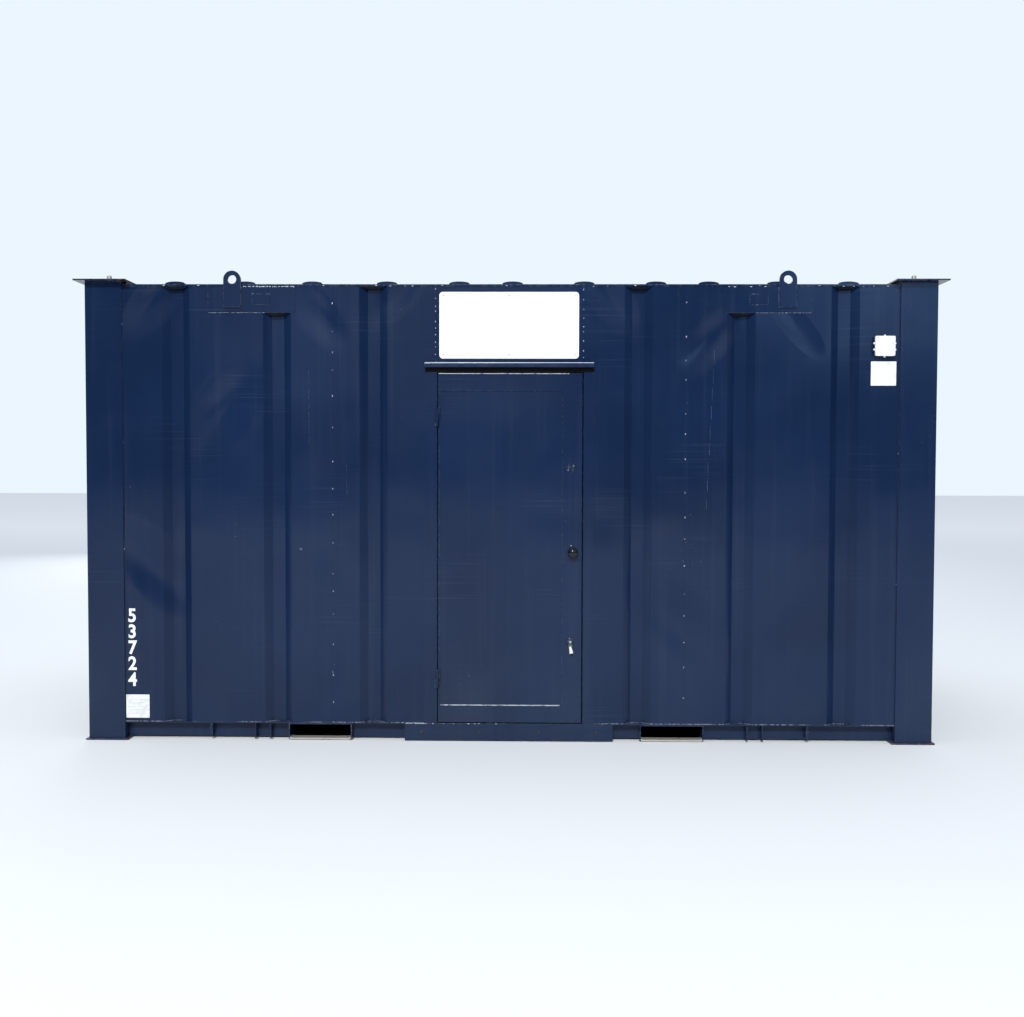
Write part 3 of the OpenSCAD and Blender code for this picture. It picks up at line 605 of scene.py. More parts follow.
def rollSheet(bm, along, thick):
    # the drawn line becomes a sheet
    swept = bmesh.ops.extrude_edge_only(bm, edges=bm.edges[:])["geom"]
    bmesh.ops.translate(bm, vec=along, verts=vertsIn(swept))
    bmesh.ops.recalc_face_normals(bm, faces=bm.faces)
    bmesh.ops.solidify(bm, geom=bm.faces[:], thickness=thick)


# welds

weldLooks = {
    "stitch": {"length": (0.006, 0.014), "gap": (0.09, 0.19), "width": 0.0062, "rise": 0.0016},
    "close": {"length": (0.006, 0.013), "gap": (0.015, 0.055), "width": 0.0058, "rise": 0.0016},
    "rare": {"length": (0.007, 0.016), "gap": (0.18, 0.75), "width": 0.0058, "rise": 0.0014},
    "bead": {"length": (0.010, 0.015), "gap": (-0.005, -0.002), "width": 0.0065, "rise": 0.0018},
    "rough": {"length": (0.008, 0.022), "gap": (-0.005, 0.006), "width": 0.0062, "rise": 0.0018},
    "broken": {"length": (0.006, 0.016), "gap": (0.004, 0.09), "width": 0.0050, "rise": 0.0014},
}


def addWeld(bm, kind, face, start, end):
    # short beads on the front of a face, from one X and Z to another
    look = weldLooks[kind]
    start, end = Vector((start[0], face, start[1])), Vector((end[0], face, end[1]))
    out = Vector(forward)
    along = (end - start).normalized()
    side = out.cross(along)
    turn = Matrix((along, side, out)).transposed().to_4x4()
    reach = (end - start).length
    at = abs(dice.uniform(*look["gap"])) * 0.5
    while at < reach - 0.004:
        length = min(dice.uniform(*look["length"]), reach - at)
        width = look["width"] * dice.uniform(0.75, 1.2)
        centre = start + along * (at + length / 2) + side * dice.uniform(-0.0008, 0.0008)
        size = Matrix.Diagonal((length / 2, width / 2, look["rise"], 1))
        place = Matrix.Translation(centre) @ turn @ size
        bmesh.ops.create_uvsphere(bm, u_segments=8, v_segments=5, radius=1, matrix=place)
        at += length + dice.uniform(*look["gap"])


wallLow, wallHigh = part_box("front_wall_left")
flatFace = wallLow.y
wallFoot, wallTop = wallLow.z, wallHigh.z
postInner = wallLow.x
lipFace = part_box("top_rails")[0].y
headerLow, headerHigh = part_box("header_plates")
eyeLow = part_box("lifting_eyes")[0]
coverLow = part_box("cover_plates")[0]
seamLook = {"left": -1.015, "right": 1.014, "width": 0.030, "rise": 0.0010, "overDoor": 0.066,
            "joint_shade": 0.0018}


def sheetSeams():
    # lapped joints of the wall sheets, with a stitch weld down each edge
    laps, spots = bmesh.new(), bmesh.new()
    for x in (seamLook["left"], seamLook["right"]):
        addBlock(laps, (x, flatFace - seamLook["rise"], wallFoot + 0.001),
                 (x + seamLook["width"], flatFace + 0.001, wallTop - 0.001), 0.0004, 1)
        addWeld(spots, "stitch", flatFace - 0.0008, (x, wallTop), (x, wallFoot))
    doorLow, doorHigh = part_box("door_head")
    for x in (doorLow.x + seamLook["overDoor"], doorHigh.x - seamLook["overDoor"]):
        addWeld(spots, "close", flatFace, (x, wallTop), (x, doorHigh.z))
    for x in (postInner, -postInner):
        addWeld(spots, "rare", flatFace, (x, wallTop), (x, wallFoot))
    repeatAtBack(laps)
    repeatAtBack(spots)
    addPiece("sheet_laps", laps, navy["wall"])
    addPiece("stitch_welds", spots, finishes["paleWeld"])


def paintedJointShade():
    # painted shade: a dark strip down the joint of each wall with its posts, where the groove of the joint
    # lies in shade
    half = seamLook["joint_shade"]
    bm = bmesh.new()
    for x in (postInner, -postInner):
        addBlock(bm, (x - half, flatFace - 0.0012, wallFoot), (x + half, flatFace + 0.001, wallTop),
                 0.0006, 1)
    repeatAtBack(bm)
    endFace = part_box("end_walls")[0]
    for sideX, sideY in fourWays:
        x, y = sideX * endFace.x, sideY * endFace.y
        addBlock(bm, (x - 0.0012, y - half, wallFoot), (x + 0.0012, y + half, wallTop), 0.0004, 1)
    addPiece("post_joint_painted_shade", bm, finishes["joint_shade"])


headerLook = {"inner": 1.23, "painted": 0.17, "stop": 0.20, "cover": 0.105, "coverSeam": 0.060,
              "eye": 0.100}


def headerWelds():
    # round the header plates, the cover plates and the lifting eyes on them
    pale, painted = bmesh.new(), bmesh.new()
    face, bottom, top = headerLow.y, headerLow.z, headerHigh.z
    for side in (1, -1):
        inner, outer = side * headerLook["inner"], -side * headerLow.x
        middle, stop = inner + side * headerLook["painted"], outer - side * headerLook["stop"]
        addWeld(painted, "bead", flatFace, (inner, bottom), (middle, bottom))
        addWeld(pale, "rough", flatFace, (middle, bottom), (outer, bottom))
        addWeld(pale, "rough" if side < 0 else "broken", face, (inner, top), (stop, top))
        addWeld(painted, "bead", flatFace, (outer, bottom), (outer, top))
        addWeld(pale, "close", flatFace, (outer, bottom), (outer, top))
        far = -side * coverLow.x
        near, seam = far - side * headerLook["cover"], coverLow.z + headerLook["coverSeam"]
        addWeld(painted, "bead", face, (near, coverLow.z), (far, coverLow.z))
        addWeld(pale, "broken", face, (near, seam), (far, seam))
        far = -side * eyeLow.x
        near = far - side * headerLook["eye"]
        addWeld(painted, "bead", face, (far, eyeLow.z), (far, top))
        addWeld(painted, "bead", face, (near, eyeLow.z), (near, top))
        addWeld(painted, "bead", face, (far, eyeLow.z), (near, eyeLow.z))
    repeatAtBack(pale)
    repeatAtBack(painted)
    addPiece("header_welds_pale", pale, finishes["paleWeld"])
    addPiece("header_welds_painted", painted, finishes["navyWeld"])


ribShadowLook = {"half": 0.066, "drop": 0.016, "steps": 12, "sunk": 0.0025, "deep": 0.014,
              "open": (-1.920, -0.780, 0.743, 1.920), "headed": (-1.335, 1.328)}


def ribTopShadows():
    # painted shadow: dark lens-shaped sheets in the tops of the wall ribs, under the lip or the header
    # plates, where their shadow falls into the recess
    half, drop, steps = ribShadowLook["half"], ribShadowLook["drop"], ribShadowLook["steps"]
    turns = [math.pi * step / steps for step in range(steps + 1)]
    bm = bmesh.new()
    tops = [(x, wallTop) for x in ribShadowLook["open"]] + [(x, headerLow.z) for x in ribShadowLook["headed"]]
    for x, top in tops:
        outline = [(x + half * math.cos(turn), top - drop * math.sin(turn)) for turn in turns]
        addPrism(bm, outline, flatFace + ribShadowLook["sunk"], ribShadowLook["deep"])
    repeatAtBack(bm)
    addPiece("rib_top_painted_shadows", bm, finishes["rubber_and_painted_shade"])


lipLook = {"runs": ((-0.72, -0.50), (0.46, 0.62), (1.86, 2.19)), "up": 0.004}


def lipWelds():
    # bare beads along the roof lip and under the plates of the posts
    bm = bmesh.new()
    for start, end in lipLook["runs"]:
        addWeld(bm, "broken", lipFace, (start, wallTop), (end, wallTop))
    level = wallTop + lipLook["up"]
    addWeld(bm, "rare", lipFace, (postInner, level), (-postInner, level))
    repeatAtBack(bm)
    addPiece("lip_welds", bm, finishes["paleWeld"])


sheetSeams()
paintedJointShade()
headerWelds()
ribTopShadows()
lipWelds()
print("welds laid")


# door: hood, seal, edges, knob and locks

hoodLook = {"sheet": 0.003, "fold": 0.009, "foldSteps": 6}


def dripHood():
    # a folded strip: flat on top, round at the front, down over the door head
    low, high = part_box("drip_hood")
    fold = hoodLook["fold"]
    bm = bmesh.new()
    point = lineTo(bm, bm.verts.new((low.x, high.y, high.z)), (low.x, low.y + fold, high.z))
    point = bendBy(bm, point, (low.x, low.y + fold, high.z - fold), (1, 0, 0), hoodLook["foldSteps"])
    lineTo(bm, point, low)
    rollSheet(bm, (high.x - low.x, 0, 0), hoodLook["sheet"])
    addPiece("hood_folded", bm, finishes["navyTrim"], replaces=["drip_hood"])


panelLook = {"left": -0.398, "right": 0.309, "bottom": 0.211}


def hoodHighlightAndDoorWear():
    # a pale blue strip along the fold of the hood is painted highlight where the fold catches the sky, with
    # some worn paint in it; paint gone along the top and panel edges of the door
    hoodLow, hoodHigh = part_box("drip_hood")
    leafLow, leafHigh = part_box("door_leaf")
    bm = bmesh.new()
    addBlock(bm, (hoodLow.x + 0.001, hoodLow.y + 0.0012, hoodHigh.z - 0.0062),
             (hoodHigh.x - 0.001, hoodLow.y + 0.0090, hoodHigh.z - 0.0008), 0.0022, 3)
    addPiece("hood_fold_painted_highlight", bm, finishes["rim"])
    bm = bmesh.new()
    addBlock(bm, (leafLow.x + 0.004, leafLow.y - 0.0006, leafHigh.z - 0.0040),
             (leafHigh.x - 0.075, leafLow.y + 0.002, leafHigh.z - 0.0004), 0.0004, 1)
    addBlock(bm, (panelLook["left"] + 0.006, leafLow.y - 0.0007, panelLook["bottom"] - 0.0034),
             (panelLook["right"] - 0.012, leafLow.y + 0.004, panelLook["bottom"] + 0.0020), 0.0005, 1)
    addPiece("door_bare_edges", bm, finishes["flaked"], "door")


def hoodShadowStrip():
    # painted shadow: a black strip hanging from the hood in front of the door head, where the hood's shadow
    # falls
    low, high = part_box("drip_hood")
    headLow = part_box("door_head")[0]
    bm = bmesh.new()
    addBlock(bm, (low.x + 0.001, headLow.y - 0.0040, headLow.z + 0.0010),
             (high.x - 0.001, headLow.y - 0.0005, low.z + 0.004), 0.0008, 2)
    addPiece("hood_painted_shadow", bm, finishes["rubber_and_painted_shade"])


def sillFlakes():
    # crumbled paint along the top edge of the sill plate
    low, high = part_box("sill_plate")
    level = high.z - 0.0015
    bm = bmesh.new()
    for kind, start, end in (("rough", low.x, low.x + 0.13), ("broken", low.x + 0.13, -0.05),
                             ("broken", high.x - 0.10, high.x - 0.02)):
        addWeld(bm, kind, low.y, (start, level), (end, level))
    addPiece("sill_flakes", bm, finishes["paleWeld"])


sealLook = {"inset": 0.009, "apart": 0.004, "half": 0.0028, "edge": 0.0018, "clear": 0.0012}


def doorSeal():
    # ribbed rubber round the stops, just clear of the closed leaf
    low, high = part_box("door_stops")
    near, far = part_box("door_back_sheet")[1].y + sealLook["clear"], low.y
    inset, half, edge = sealLook["inset"], sealLook["half"], sealLook["edge"]
    shifts = (-sealLook["apart"], sealLook["apart"])
    bm = bmesh.new()
    for x in [side + shift for side in (low.x + inset, high.x - inset) for shift in shifts]:
        addBlock(bm, (x - half, near, low.z + 0.013), (x + half, far, high.z - 0.004), edge, 2)
    for z in [high.z - inset + shift for shift in shifts]:
        addBlock(bm, (low.x + 0.016, near, z - half), (high.x - 0.016, far, z + half), edge, 2)
    addPiece("door_seal", bm, finishes["rubber_and_painted_shade"])


knobLook = {"rose": 0.030, "neck": 0.011, "ball": 0.030, "flat": 0.020, "arc": (-48, 138), "arcSteps": 12,
            "steps": 40}


def doorKnob():
    # a rose, a neck and a flattened ball, with one screw over the rose
    low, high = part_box("door_knob")
    rose, neck, ball, flat = knobLook["rose"], knobLook["neck"], knobLook["ball"], knobLook["flat"]
    reach = high.y - low.y
    profile = [(0, 0), (rose, 0), (rose, 0.003), (rose - 0.003, 0.005), (neck + 0.004, 0.006),
               (neck, 0.010), (neck, reach - 0.034)]
    start, sweep = knobLook["arc"]
    for step in range(knobLook["arcSteps"]):
        turn = math.radians(start + sweep * step / knobLook["arcSteps"])
        profile.append((ball * math.cos(turn), reach - flat + flat * math.sin(turn)))
    profile.append((0, reach))
    middle = (low + high) / 2
    bm = bmesh.new()
    addLathe(bm, profile, facing((middle.x, high.y, middle.z), forward), knobLook["steps"])
    addPiece("knob_turned", bm, finishes["knobGloss"], "door", replaces=["door_knob"])
    bm = bmesh.new()
    addScrew(bm, (middle.x - 0.011, high.y, high.z + 0.009), forward, 0.0042, 0.0020)
    addPiece("knob_screw", bm, finishes["zinc"], "door")


lockLook = {"radius": 0.027, "core": 0.0155, "plug": 0.0078, "screwOut": 0.0205, "screwUp": 0.0042,
            "keyway": (0.0022, 0.0096, 0.0012), "steps": 40}


def lockFaces():
    # two round roses with a turned cylinder in each; the upper one is painted over
    low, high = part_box("lock_escutcheons")
    x, thick = (low.x + high.x) / 2, high.y - low.y
    radius, core, plug = lockLook["radius"], lockLook["core"], lockLook["plug"]
    rose = [(0, -0.0003), (radius, -0.0003), (radius, 0.0015), (radius - 0.0015, 0.0038),
            (core + 0.004, 0.0050), (core + 0.0015, 0.0042), (core + 0.0015, 0.0030), (0, 0.0030)]
    cylinder = [(core, 0.0025), (core, thick - 0.0012), (core - 0.0012, thick), (plug, thick),
                (plug, thick - 0.0018)]
    plugEnd = [(plug - 0.0004, thick - 0.0022), (plug - 0.0004, thick - 0.0014), (0.0, thick - 0.0014)]
    keyway = Matrix.Translation((0, 0, thick - 0.0012)) @ Matrix.Diagonal((*lockLook["keyway"], 1))
    painted, plated, keywayShade = bmesh.new(), bmesh.new(), bmesh.new()
    for z, plugIn, turns in ((high.z - radius, painted, (215, 35)), (low.z + radius, plated, (100, 280))):
        place = facing((x, high.y, z), forward)
        for bm, profile in ((painted, rose), (painted, cylinder), (plugIn, plugEnd)):
            addLathe(bm, profile, place, lockLook["steps"])
        # painted shade: a black block on each plug stands for the dark slot of the keyway
        bmesh.ops.create_cube(keywayShade, size=1, matrix=place @ keyway)
        for turn in turns:
            out = Vector((lockLook["screwOut"], 0, lockLook["screwUp"]))
            addScrew(plated, place @ (Matrix.Rotation(math.radians(turn), 4, "Z") @ out), forward, 0.0035)
    addPiece("lock_roses", painted, navy["edge"], "door", replaces=["lock_escutcheons"])
    addPiece("lock_cylinders", plated, finishes["lockMetal"], "door")
    addPiece("lock_keyway_painted_shade", keywayShade, finishes["rubber_and_painted_shade"], "door")


keyLook = {"x": 0.358, "out": 0.010, "bow": 0.0095, "hole": 0.0035, "thick": 0.0022, "wire": 0.0011,
           "ring": 0.0095, "tag": (0.021, 0.0022, 0.042), "tagCorner": 0.004, "swing": -12, "narrow": 0.45,
           "bend": 0.0030}


def keyAndTag():
    # a key left in the lower lock, with a double ring and a plastic tag
    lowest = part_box("lock_key_and_tag")[0].z + 0.0005
    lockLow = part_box("lock_escutcheons")[0]
    x, z = keyLook["x"], lockLow.z + lockLook["radius"]
    bow, hole, thick = keyLook["bow"], keyLook["hole"], keyLook["thick"]
    front = lockLow.y - keyLook["out"]
    metal = bmesh.new()
    addBlock(metal, (x - thick / 2, front, z - 0.0040), (x + thick / 2, lockLow.y + 0.0030, z + 0.0040),
             0.0003, 1)
    place = facing((x - thick / 2, front - bow * 0.9, z), (1, 0, 0))
    addLathe(metal, [(hole, 0), (bow, 0), (bow, thick), (hole, thick), (hole, 0)], place, 28)
    wire, ring = keyLook["wire"], keyLook["ring"]
    ringCentre = Vector((x + 0.0004, front - bow * 1.1, z - bow * 0.75 - ring))
    for lift in (-wire, wire):
        before = set(metal.verts)
        upright = Matrix.Translation((ring, 0, lift)) @ Matrix.Rotation(math.pi / 2, 4, "X")
        section = bmesh.ops.create_circle(metal, segments=8, radius=wire, matrix=upright)["verts"]
        edges = list({e for v in section for e in v.link_edges})
        turnRound(metal, section + edges, facing(ringCentre, (0.25, -1, 0.05)), 36, before)
    addPiece("lock_key", metal, finishes["lockMetal"], "door",
             replaces=["lock_key_and_tag"])
    tag = bmesh.new()
    wide, deep, tall = keyLook["tag"]
    addBlock(tag, (-wide / 2, -deep / 2, -tall / 2), (wide / 2, deep / 2, tall / 2), 0.0009, 2)
    through = [e for e in tag.edges if abs(e.verts[0].co.y - e.verts[1].co.y) > deep * 0.4]
    roundOff(tag, through, keyLook["tagCorner"], 4)
    for v in tag.verts:
        # narrower at the hole, and bent a little from handling
        share = 0.5 + v.co.z / tall
        v.co.x *= 1.0 - keyLook["narrow"] * share
        v.co.y += keyLook["bend"] * math.sin(share * 4.0)
    centre = ringCentre + Vector((0.002, 0.001, -ring - tall / 2 + 0.004))
    swing = Matrix.Translation(centre) @ Matrix.Rotation(math.radians(keyLook["swing"]), 4, "Y")
    bmesh.ops.transform(tag, matrix=swing, verts=tag.verts)
    for v in tag.verts:
        v.co.z = max(v.co.z, lowest)
    addPiece("key_tag", tag, finishes["tagPlastic"], "door")


dripHood()
hoodHighlightAndDoorWear()
hoodShadowStrip()
sillFlakes()
doorSeal()
doorKnob()
lockFaces()
keyAndTag()
print("door dressed")


# fixings on the wall: sign screws, inlet box, plates, number, sill screws

signLook = {"inset": 0.022, "screw": 0.0048}


def signScrews():
    low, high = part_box("sign_board")
    inset = signLook["inset"]
    bm = bmesh.new()
    for x in (low.x + inset, (low.x + high.x) / 2, high.x - inset):
        for z in (low.z + inset, high.z - inset):
            addScrew(bm, (x, low.y, z), forward, signLook["screw"])
    addPiece("sign_screws", bm, finishes["zinc"])


boxLook = {"half": 0.0565, "base": 0.027, "lidGap": 0.0012, "corner": 0.007, "rim": 0.0022, "sunk": 0.009,
           "field": 0.016, "gland": 0.0105, "glandOut": 0.0090, "screwIn": 0.010, "screw": 0.0042}
# each gland has the way it looks out, then its shift along X and Z
glands = [((-1, 0, 0), (0, 0.016)), ((-1, 0, 0), (0, -0.020)), ((1, 0, 0), (0, 0.016)),
          ((1, 0, 0), (0, -0.020)), ((0, 0, 1), (0, 0)), ((0, 0, -1), (0, 0))]


def addShell(bm, middle, half, near, far):
    # a square moulding with round corners, its near rim softened
    shell = bmesh.new()
    addBlock(shell, (middle.x - half, near, middle.z - half), (middle.x + half, far, middle.z + half))
    upright = [e for e in shell.edges if abs(e.verts[0].co.y - e.verts[1].co.y) > 0.005]
    roundOff(shell, upright, boxLook["corner"], 5)
    roundOff(shell, [e for e in shell.edges if all(abs(v.co.y - near) < 1e-5 for v in e.verts)],
             boxLook["rim"], 3)
    joinInto(bm, shell)


def inletBox():
    low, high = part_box("power_inlet_box")
    middle = (low + high) / 2
    half, front, sunk = boxLook["half"], low.y, boxLook["sunk"]
    split = high.y - boxLook["base"]
    bm = bmesh.new()
    addShell(bm, middle, half - sunk, split, high.y)
    addShell(bm, middle, half, front, split - boxLook["lidGap"])
    # sunk seam between base and lid, and the raised field of the lid
    for reach, near, far, edge in ((half - sunk - 0.002, split - 0.002, split + 0.002, 0.0),
                                   (half - boxLook["field"], front - 0.0012, front + 0.001, 0.0010)):
        addBlock(bm, (middle.x - reach, near, middle.z - reach), (middle.x + reach, far, middle.z + reach),
                 edge)
    gland, out = boxLook["gland"], boxLook["glandOut"] + sunk
    profile = [(0, 0), (gland, 0), (gland, out * 0.25), (gland * 0.80, out * 0.32),
               (gland * 0.74, out * 0.60), (gland * 0.55, out * 0.66), (gland * 0.48, out), (0, out)]
    for outward, (alongX, alongZ) in glands:
        centre = Vector((middle.x + alongX, split + 0.001, middle.z + alongZ))
        centre += Vector(outward) * (half - sunk - 0.0012)
        addLathe(bm, profile, facing(centre, outward, (0, 1, 0)), 24)
    addPiece("inlet_box_moulded", bm, finishes["boxPlastic"],
             replaces=["power_inlet_box"])
    caps = bmesh.new()
    reach = half - boxLook["screwIn"]
    for sideX, sideZ in fourWays:
        addScrew(caps, (middle.x + sideX * reach, front, middle.z + sideZ * reach), forward,
                 boxLook["screw"], 0.0010)
    addPiece("inlet_box_screws", caps, finishes["boxPlastic"])


# each plate has its X, its Z, its width and its height
plateLook = {"notice": (2.139, 2.1305, 0.144, 0.138), "data": (-2.158, 0.194, 0.136, 0.136), "rules": 10,
             "rivetIn": 0.008}


def plateDetails():
    # ruled lines on the data plate and a small rivet near each corner of both
    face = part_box("small_plates")[0].y
    rules, rivets = bmesh.new(), bmesh.new()
    x, z, wide, tall = plateLook["data"]
    lines = [(z + tall * (0.22 - 0.060 * row) - 0.0007, z + tall * (0.22 - 0.060 * row) + 0.0007)
             for row in range(plateLook["rules"])]
    for bottom, top in lines + [(z + tall * 0.28, z + tall * 0.294)]:
        addBlock(rules, (x - wide * 0.42, face - 0.00025, bottom), (x + wide * 0.42, face + 0.0004, top))
    for x, z, wide, tall in (plateLook["notice"], plateLook["data"]):
        reachX, reachZ = wide / 2 - plateLook["rivetIn"], tall / 2 - plateLook["rivetIn"]
        for sideX, sideZ in fourWays:
            addScrew(rivets, (x + sideX * reachX, face, z + sideZ * reachZ), forward, 0.0024, 0.0011, False)
    addPiece("plate_rules", rules, finishes["plateRule"])
    addPiece("plate_rivets", rivets, finishes["zinc"])


numberLook = {"digits": "53724", "x": -2.1875, "top": 0.721, "pitch": 0.0935, "size": 0.108, "wide": 0.92,
              "bold": 0.0030, "thick": 0.0003}


def unitNumber():
    # stencilled yard number, one digit above the next
    bm = bmesh.new()
    for row, digit in enumerate(numberLook["digits"]):
        words = bpy.data.curves.new("digit", "FONT")
        words.body = digit
        words.align_x = "CENTER"
        words.align_y = "CENTER"
        words.size = numberLook["size"]
        words.offset = numberLook["bold"]
        words.extrude = numberLook["thick"]
        carrier = bpy.data.objects.new("digit", words)
        bpy.context.scene.collection.objects.link(carrier)
        bpy.context.view_layer.update()
        flat = bpy.data.meshes.new_from_object(carrier)
        centre = (numberLook["x"], flatFace - numberLook["thick"],
                  numberLook["top"] - row * numberLook["pitch"])
        flat.transform(facing(centre, forward) @ Matrix.Diagonal((numberLook["wide"], 1, 1, 1)))
        bm.from_mesh(flat)
        bpy.data.objects.remove(carrier)
        bpy.data.meshes.remove(flat)
        bpy.data.curves.remove(words)
    bmesh.ops.remove_doubles(bm, verts=bm.verts, dist=1e-6)
    addPiece("unit_number", bm, finishes["numberWhite"])


boltLook = {"level": 0.055, "inset": (0.098, 0.097), "middle": (-0.167, 0.178), "washer": 0.0088,
            "head": 0.0062}


def sillScrews():
    # round washers with hexagon heads
    low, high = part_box("sill_plate")
    washer, head = boltLook["washer"], boltLook["head"]
    bm = bmesh.new()
    for x in (low.x + boltLook["inset"][0], *boltLook["middle"], high.x - boltLook["inset"][1]):
        place = facing((x, low.y, boltLook["level"]), forward)
        disc = [(washer, -0.0005), (washer, 0.0010), (washer - 0.0008, 0.0016), (0, 0.0016)]
        hexagon = [(head, 0.001), (head, 0.0048), (head - 0.0010, 0.0056), (0, 0.0056)]
        addLathe(bm, disc, place, 24)
        addLathe(bm, hexagon, place @ Matrix.Rotation(dice.uniform(0, 1), 4, "Z"), 6)
    addPiece("sill_bolts", bm, finishes["boltDark"])


signScrews()
inletBox()
plateDetails()
unitNumber()
sillScrews()
print("wall fixings on")


# base and roof corners

roofLook = {"ribs": (-1.920, -1.515, -1.130, -0.700, -0.285, 0.020, 0.430, 0.840, 1.140, 1.530, 1.935),
            "half": 0.059, "rise": 0.0155, "round": 0.8, "base": 0.002, "steps": 12}


def roofSheet():
    # pressed sheet with low rounded ribs from front to back
    low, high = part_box("roof_sheet")
    base, steps = low.z + roofLook["base"], roofLook["steps"]
    turns = [math.pi * (1 - step / steps) for step in range(steps + 1)]
    outline = [(low.x, base)]
    for x in roofLook["ribs"]:
        outline += [(x + roofLook["half"] * math.cos(turn),
                     base + roofLook["rise"] * math.sin(turn) ** roofLook["round"]) for turn in turns]
    outline += [(high.x, base), (high.x, low.z), (low.x, low.z)]
    bm = bmesh.new()
    addPrism(bm, outline, low.y, high.y - low.y)
    addPiece("roof_pressed", bm, navy["roof"], replaces=["roof_sheet"])


strapLook = {"wide": 0.357, "deep": 0.060, "thick": 0.010, "corner": 0.011, "up": 0.002, "clear": 0.0005,
             "steps": 5}


def pocketStraps():
    # bent wear straps under the mouths of the fork pockets, turned up at both ends
    low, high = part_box("fork_pocket_straps")
    wide, corner, clear = strapLook["wide"], strapLook["corner"], strapLook["clear"]
    bend = low.z + corner
    top = bend + strapLook["up"]
    bm = bmesh.new()
    for left in (low.x, high.x - wide):
        near, far = left + clear, left + wide - clear
        one = bmesh.new()
        point = lineTo(one, one.verts.new((near, low.y, top)), (near, low.y, bend))
        for turnX, place in ((near + corner, (far - corner, low.y, low.z)),
                             (far - corner, (far, low.y, top))):
            point = bendBy(one, point, (turnX, low.y, bend), (0, -1, 0), strapLook["steps"])
            point = lineTo(one, point, place)
        rollSheet(one, (0, strapLook["deep"], 0), strapLook["thick"])
        joinInto(bm, one)
    repeatAtBack(bm)
    addPiece("pocket_wear_straps", bm, finishes["wornSteel"],
             replaces=["fork_pocket_straps"])


pinLook = {"radius": 0.014, "steps": 28}


def cornerPins():
    # turned stacking pins with a lead-in and a weld round the foot
    low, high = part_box("stacking_pins")
    radius, reach = pinLook["radius"], high.z - low.z
    profile = [(0, 0), (radius, 0), (radius, reach - 0.0055), (radius - 0.0018, reach - 0.0030),
               (radius - 0.0042, reach - 0.0008), (radius - 0.0062, reach), (0, reach)]
    weld = [(radius - 0.001, 0.0055), (radius + 0.0015, 0.0045), (radius + 0.0042, 0.0022),
            (radius + 0.0055, 0)]
    pins, beads = bmesh.new(), bmesh.new()
    for sideX, sideY in fourWays:
        foot = Matrix.Translation((sideX * (high.x - radius), sideY * (high.y - radius), low.z))
        addLathe(pins, profile, foot, pinLook["steps"])
        addLathe(beads, weld, foot, pinLook["steps"])
    addPiece("stacking_pins_turned", pins, finishes["wornSteel"],
             replaces=["stacking_pins"])
    addPiece("stacking_pin_welds", beads, finishes["navyWeld"])


roofSheet()
pocketStraps()
cornerPins()
print("base and corners done")


# inside: cover strips over the lining joints, tread on the threshold, floor screws

liningLook = {"step": 1.176, "wide": 0.030, "rise": 0.0025, "corner": 0.022, "edge": 0.0009}


def addSpan(bm, first, second):
    # a strip between any two opposite corners
    low = [min(pair) for pair in zip(first, second)]
    high = [max(pair) for pair in zip(first, second)]
    addBlock(bm, low, high, liningLook["edge"], 2)


def liningStrips():
    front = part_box("front_linings")[1].y
    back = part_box("back_lining")[0].y
    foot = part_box("floor_boards")[1].z
    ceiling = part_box("ceiling_board")[0]
    roomX, top = -ceiling.x, ceiling.z
    half, rise, corner = liningLook["wide"] / 2, liningLook["rise"], liningLook["corner"]
    bm = bmesh.new()
    for step in (-1, 0, 1):
        x = step * liningLook["step"]
        addSpan(bm, (x - half, back - rise, foot), (x + half, back, top))
        if step:
            addSpan(bm, (x - half, front, foot), (x + half, front + rise, top))
        addSpan(bm, (x - half, front, top - rise), (x + half, back, top))
    for side in (1, -1):
        addSpan(bm, (side * roomX, -half, foot), (side * (roomX - rise), half, top))
    for y, turn in ((front, 1), (back, -1)):
        for out, along in ((corner, rise), (rise, corner)):
            for side in (1, -1):
                addSpan(bm, (side * roomX, y, foot), (side * (roomX - out), y + turn * along, top))
            addSpan(bm, (-roomX, y, top), (roomX, y + turn * out, top - along))
    addPiece("lining_strips", bm, finishes["trimStrip"])


treadLook = {"ridges": 4, "first": 0.0045, "step": 0.0048, "half": 0.0009, "screwIn": 0.03, "screw": 0.0045}


def treadRidges():
    low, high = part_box("door_threshold")
    half, inset = treadLook["half"], treadLook["screwIn"]
    bm = bmesh.new()
    for step in range(treadLook["ridges"]):
        y = low.y + treadLook["first"] + step * treadLook["step"]
        addBlock(bm, (low.x + 0.002, y - half, high.z - 0.0002),
                 (high.x - 0.002, y + half, high.z + 0.0012), 0.0005, 2)
    for x in (low.x + inset, (low.x + high.x) / 2, high.x - inset):
        addScrew(bm, (x, (low.y + high.y) / 2, high.z + 0.0004), (0, 0, 1), treadLook["screw"], 0.0012)
    addPiece("threshold_tread", bm, finishes["treadMetal"])


floorScrewLook = {"inset": 0.025, "first": 0.04, "end": 0.02, "step": 0.305, "radius": 0.0045}


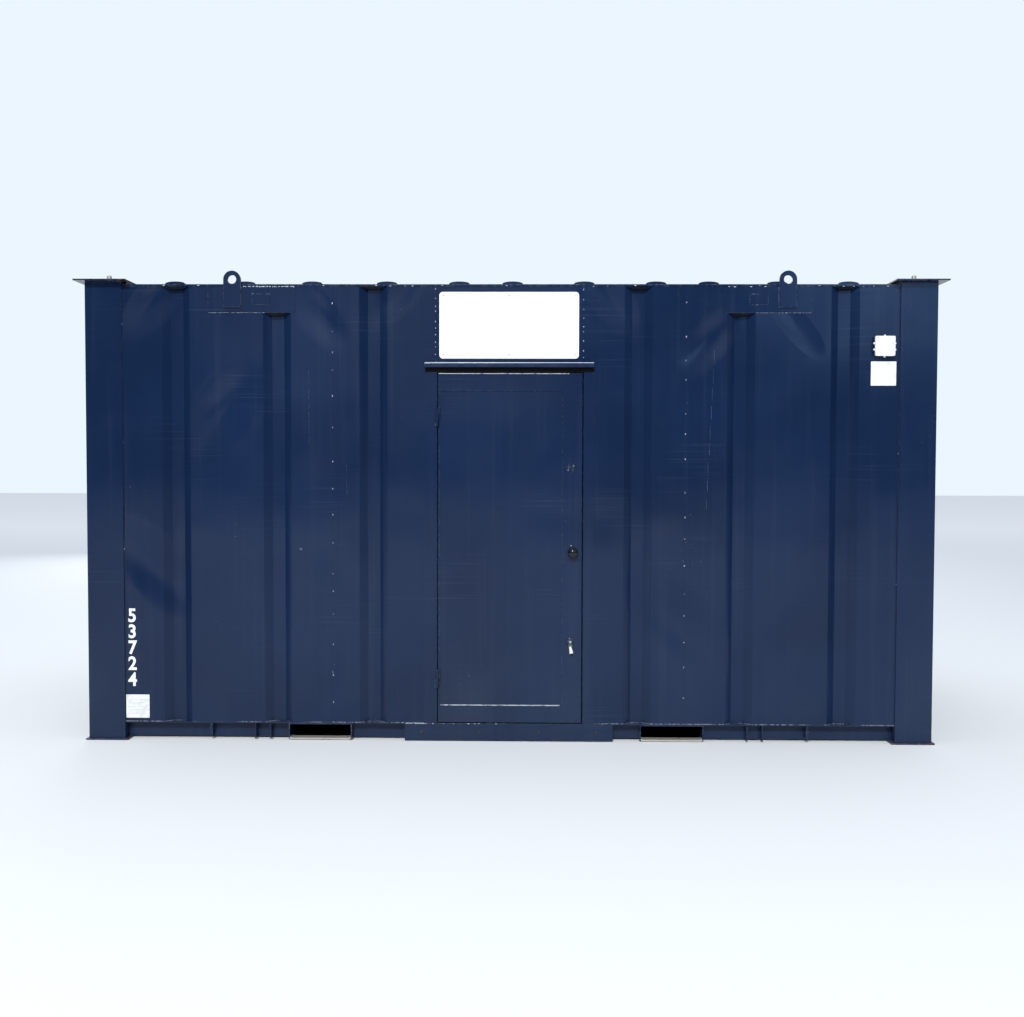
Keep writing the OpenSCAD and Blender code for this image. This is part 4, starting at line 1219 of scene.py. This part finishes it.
def floorScrews():
    # rows of screws at the cabin's ends and beside each joint of the boards
    low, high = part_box("floor_boards")
    inset, first, step = floorScrewLook["inset"], floorScrewLook["first"], floorScrewLook["step"]
    lines = [low.x + inset, high.x - inset]
    for board in (-1, 0, 1):
        lines += [board * plyLook["boards"] - inset, board * plyLook["boards"] + inset]
    rows = int((high.y - low.y - first - floorScrewLook["end"]) / step) + 1
    bm = bmesh.new()
    for x in lines:
        for row in range(rows):
            place = (x, low.y + first + row * step, high.z)
            addScrew(bm, place, (0, 0.0001, 1), floorScrewLook["radius"], 0.0006, False)
    addPiece("floor_screws", bm, finishes["zinc"])


liningStrips()
treadRidges()
floorScrews()
print("inside trimmed")


# marks on the paint: chips and hairline scratches

# a chip has its X, its Z and its reach, and a hair runs from one X and Z to another
markLook = {"chips": [(-1.201, 1.114, 0.010), (-1.018, 0.399, 0.009), (-2.235, 0.545, 0.005),
                      (1.045, 1.32, 0.005)],
            "hairs": [((-1.151, 2.147), (-1.152, 1.716)), ((1.178, 2.263), (1.135, 1.300)),
                      ((-0.936, 1.60), (-0.934, 1.42))],
            "hairParts": 9, "width": 0.0022, "rise": 0.0003}


def paintMarks():
    rise, parts = markLook["rise"], markLook["hairParts"]
    bm = bmesh.new()
    for x, z, reach in markLook["chips"]:
        place = facing((x, flatFace - rise * 0.5, z), forward)
        chip = bmesh.ops.create_circle(bm, cap_ends=True, segments=11, radius=reach * 0.8,
                                       matrix=place)["verts"]
        for corner in chip:
            corner.co += (corner.co - place.translation) * dice.uniform(-0.35, 0.35)
    for hair in markLook["hairs"]:
        start, end = [Vector((x, flatFace - 0.0001, z)) for x, z in hair]
        for part in range(parts):
            a = start.lerp(end, part / parts)
            b = start.lerp(end, (part + dice.uniform(0.5, 1.0)) / parts)
            a.x += dice.uniform(-0.0015, 0.0015)
            half = markLook["width"] * dice.uniform(0.3, 0.8) / 2
            left = min(a.x, b.x)
            addBlock(bm, (left - half, flatFace - rise, b.z), (left + half, flatFace + 0.0005, a.z))
    addPiece("paint_marks", bm, finishes["markPale"])


paintMarks()
print("marks on")
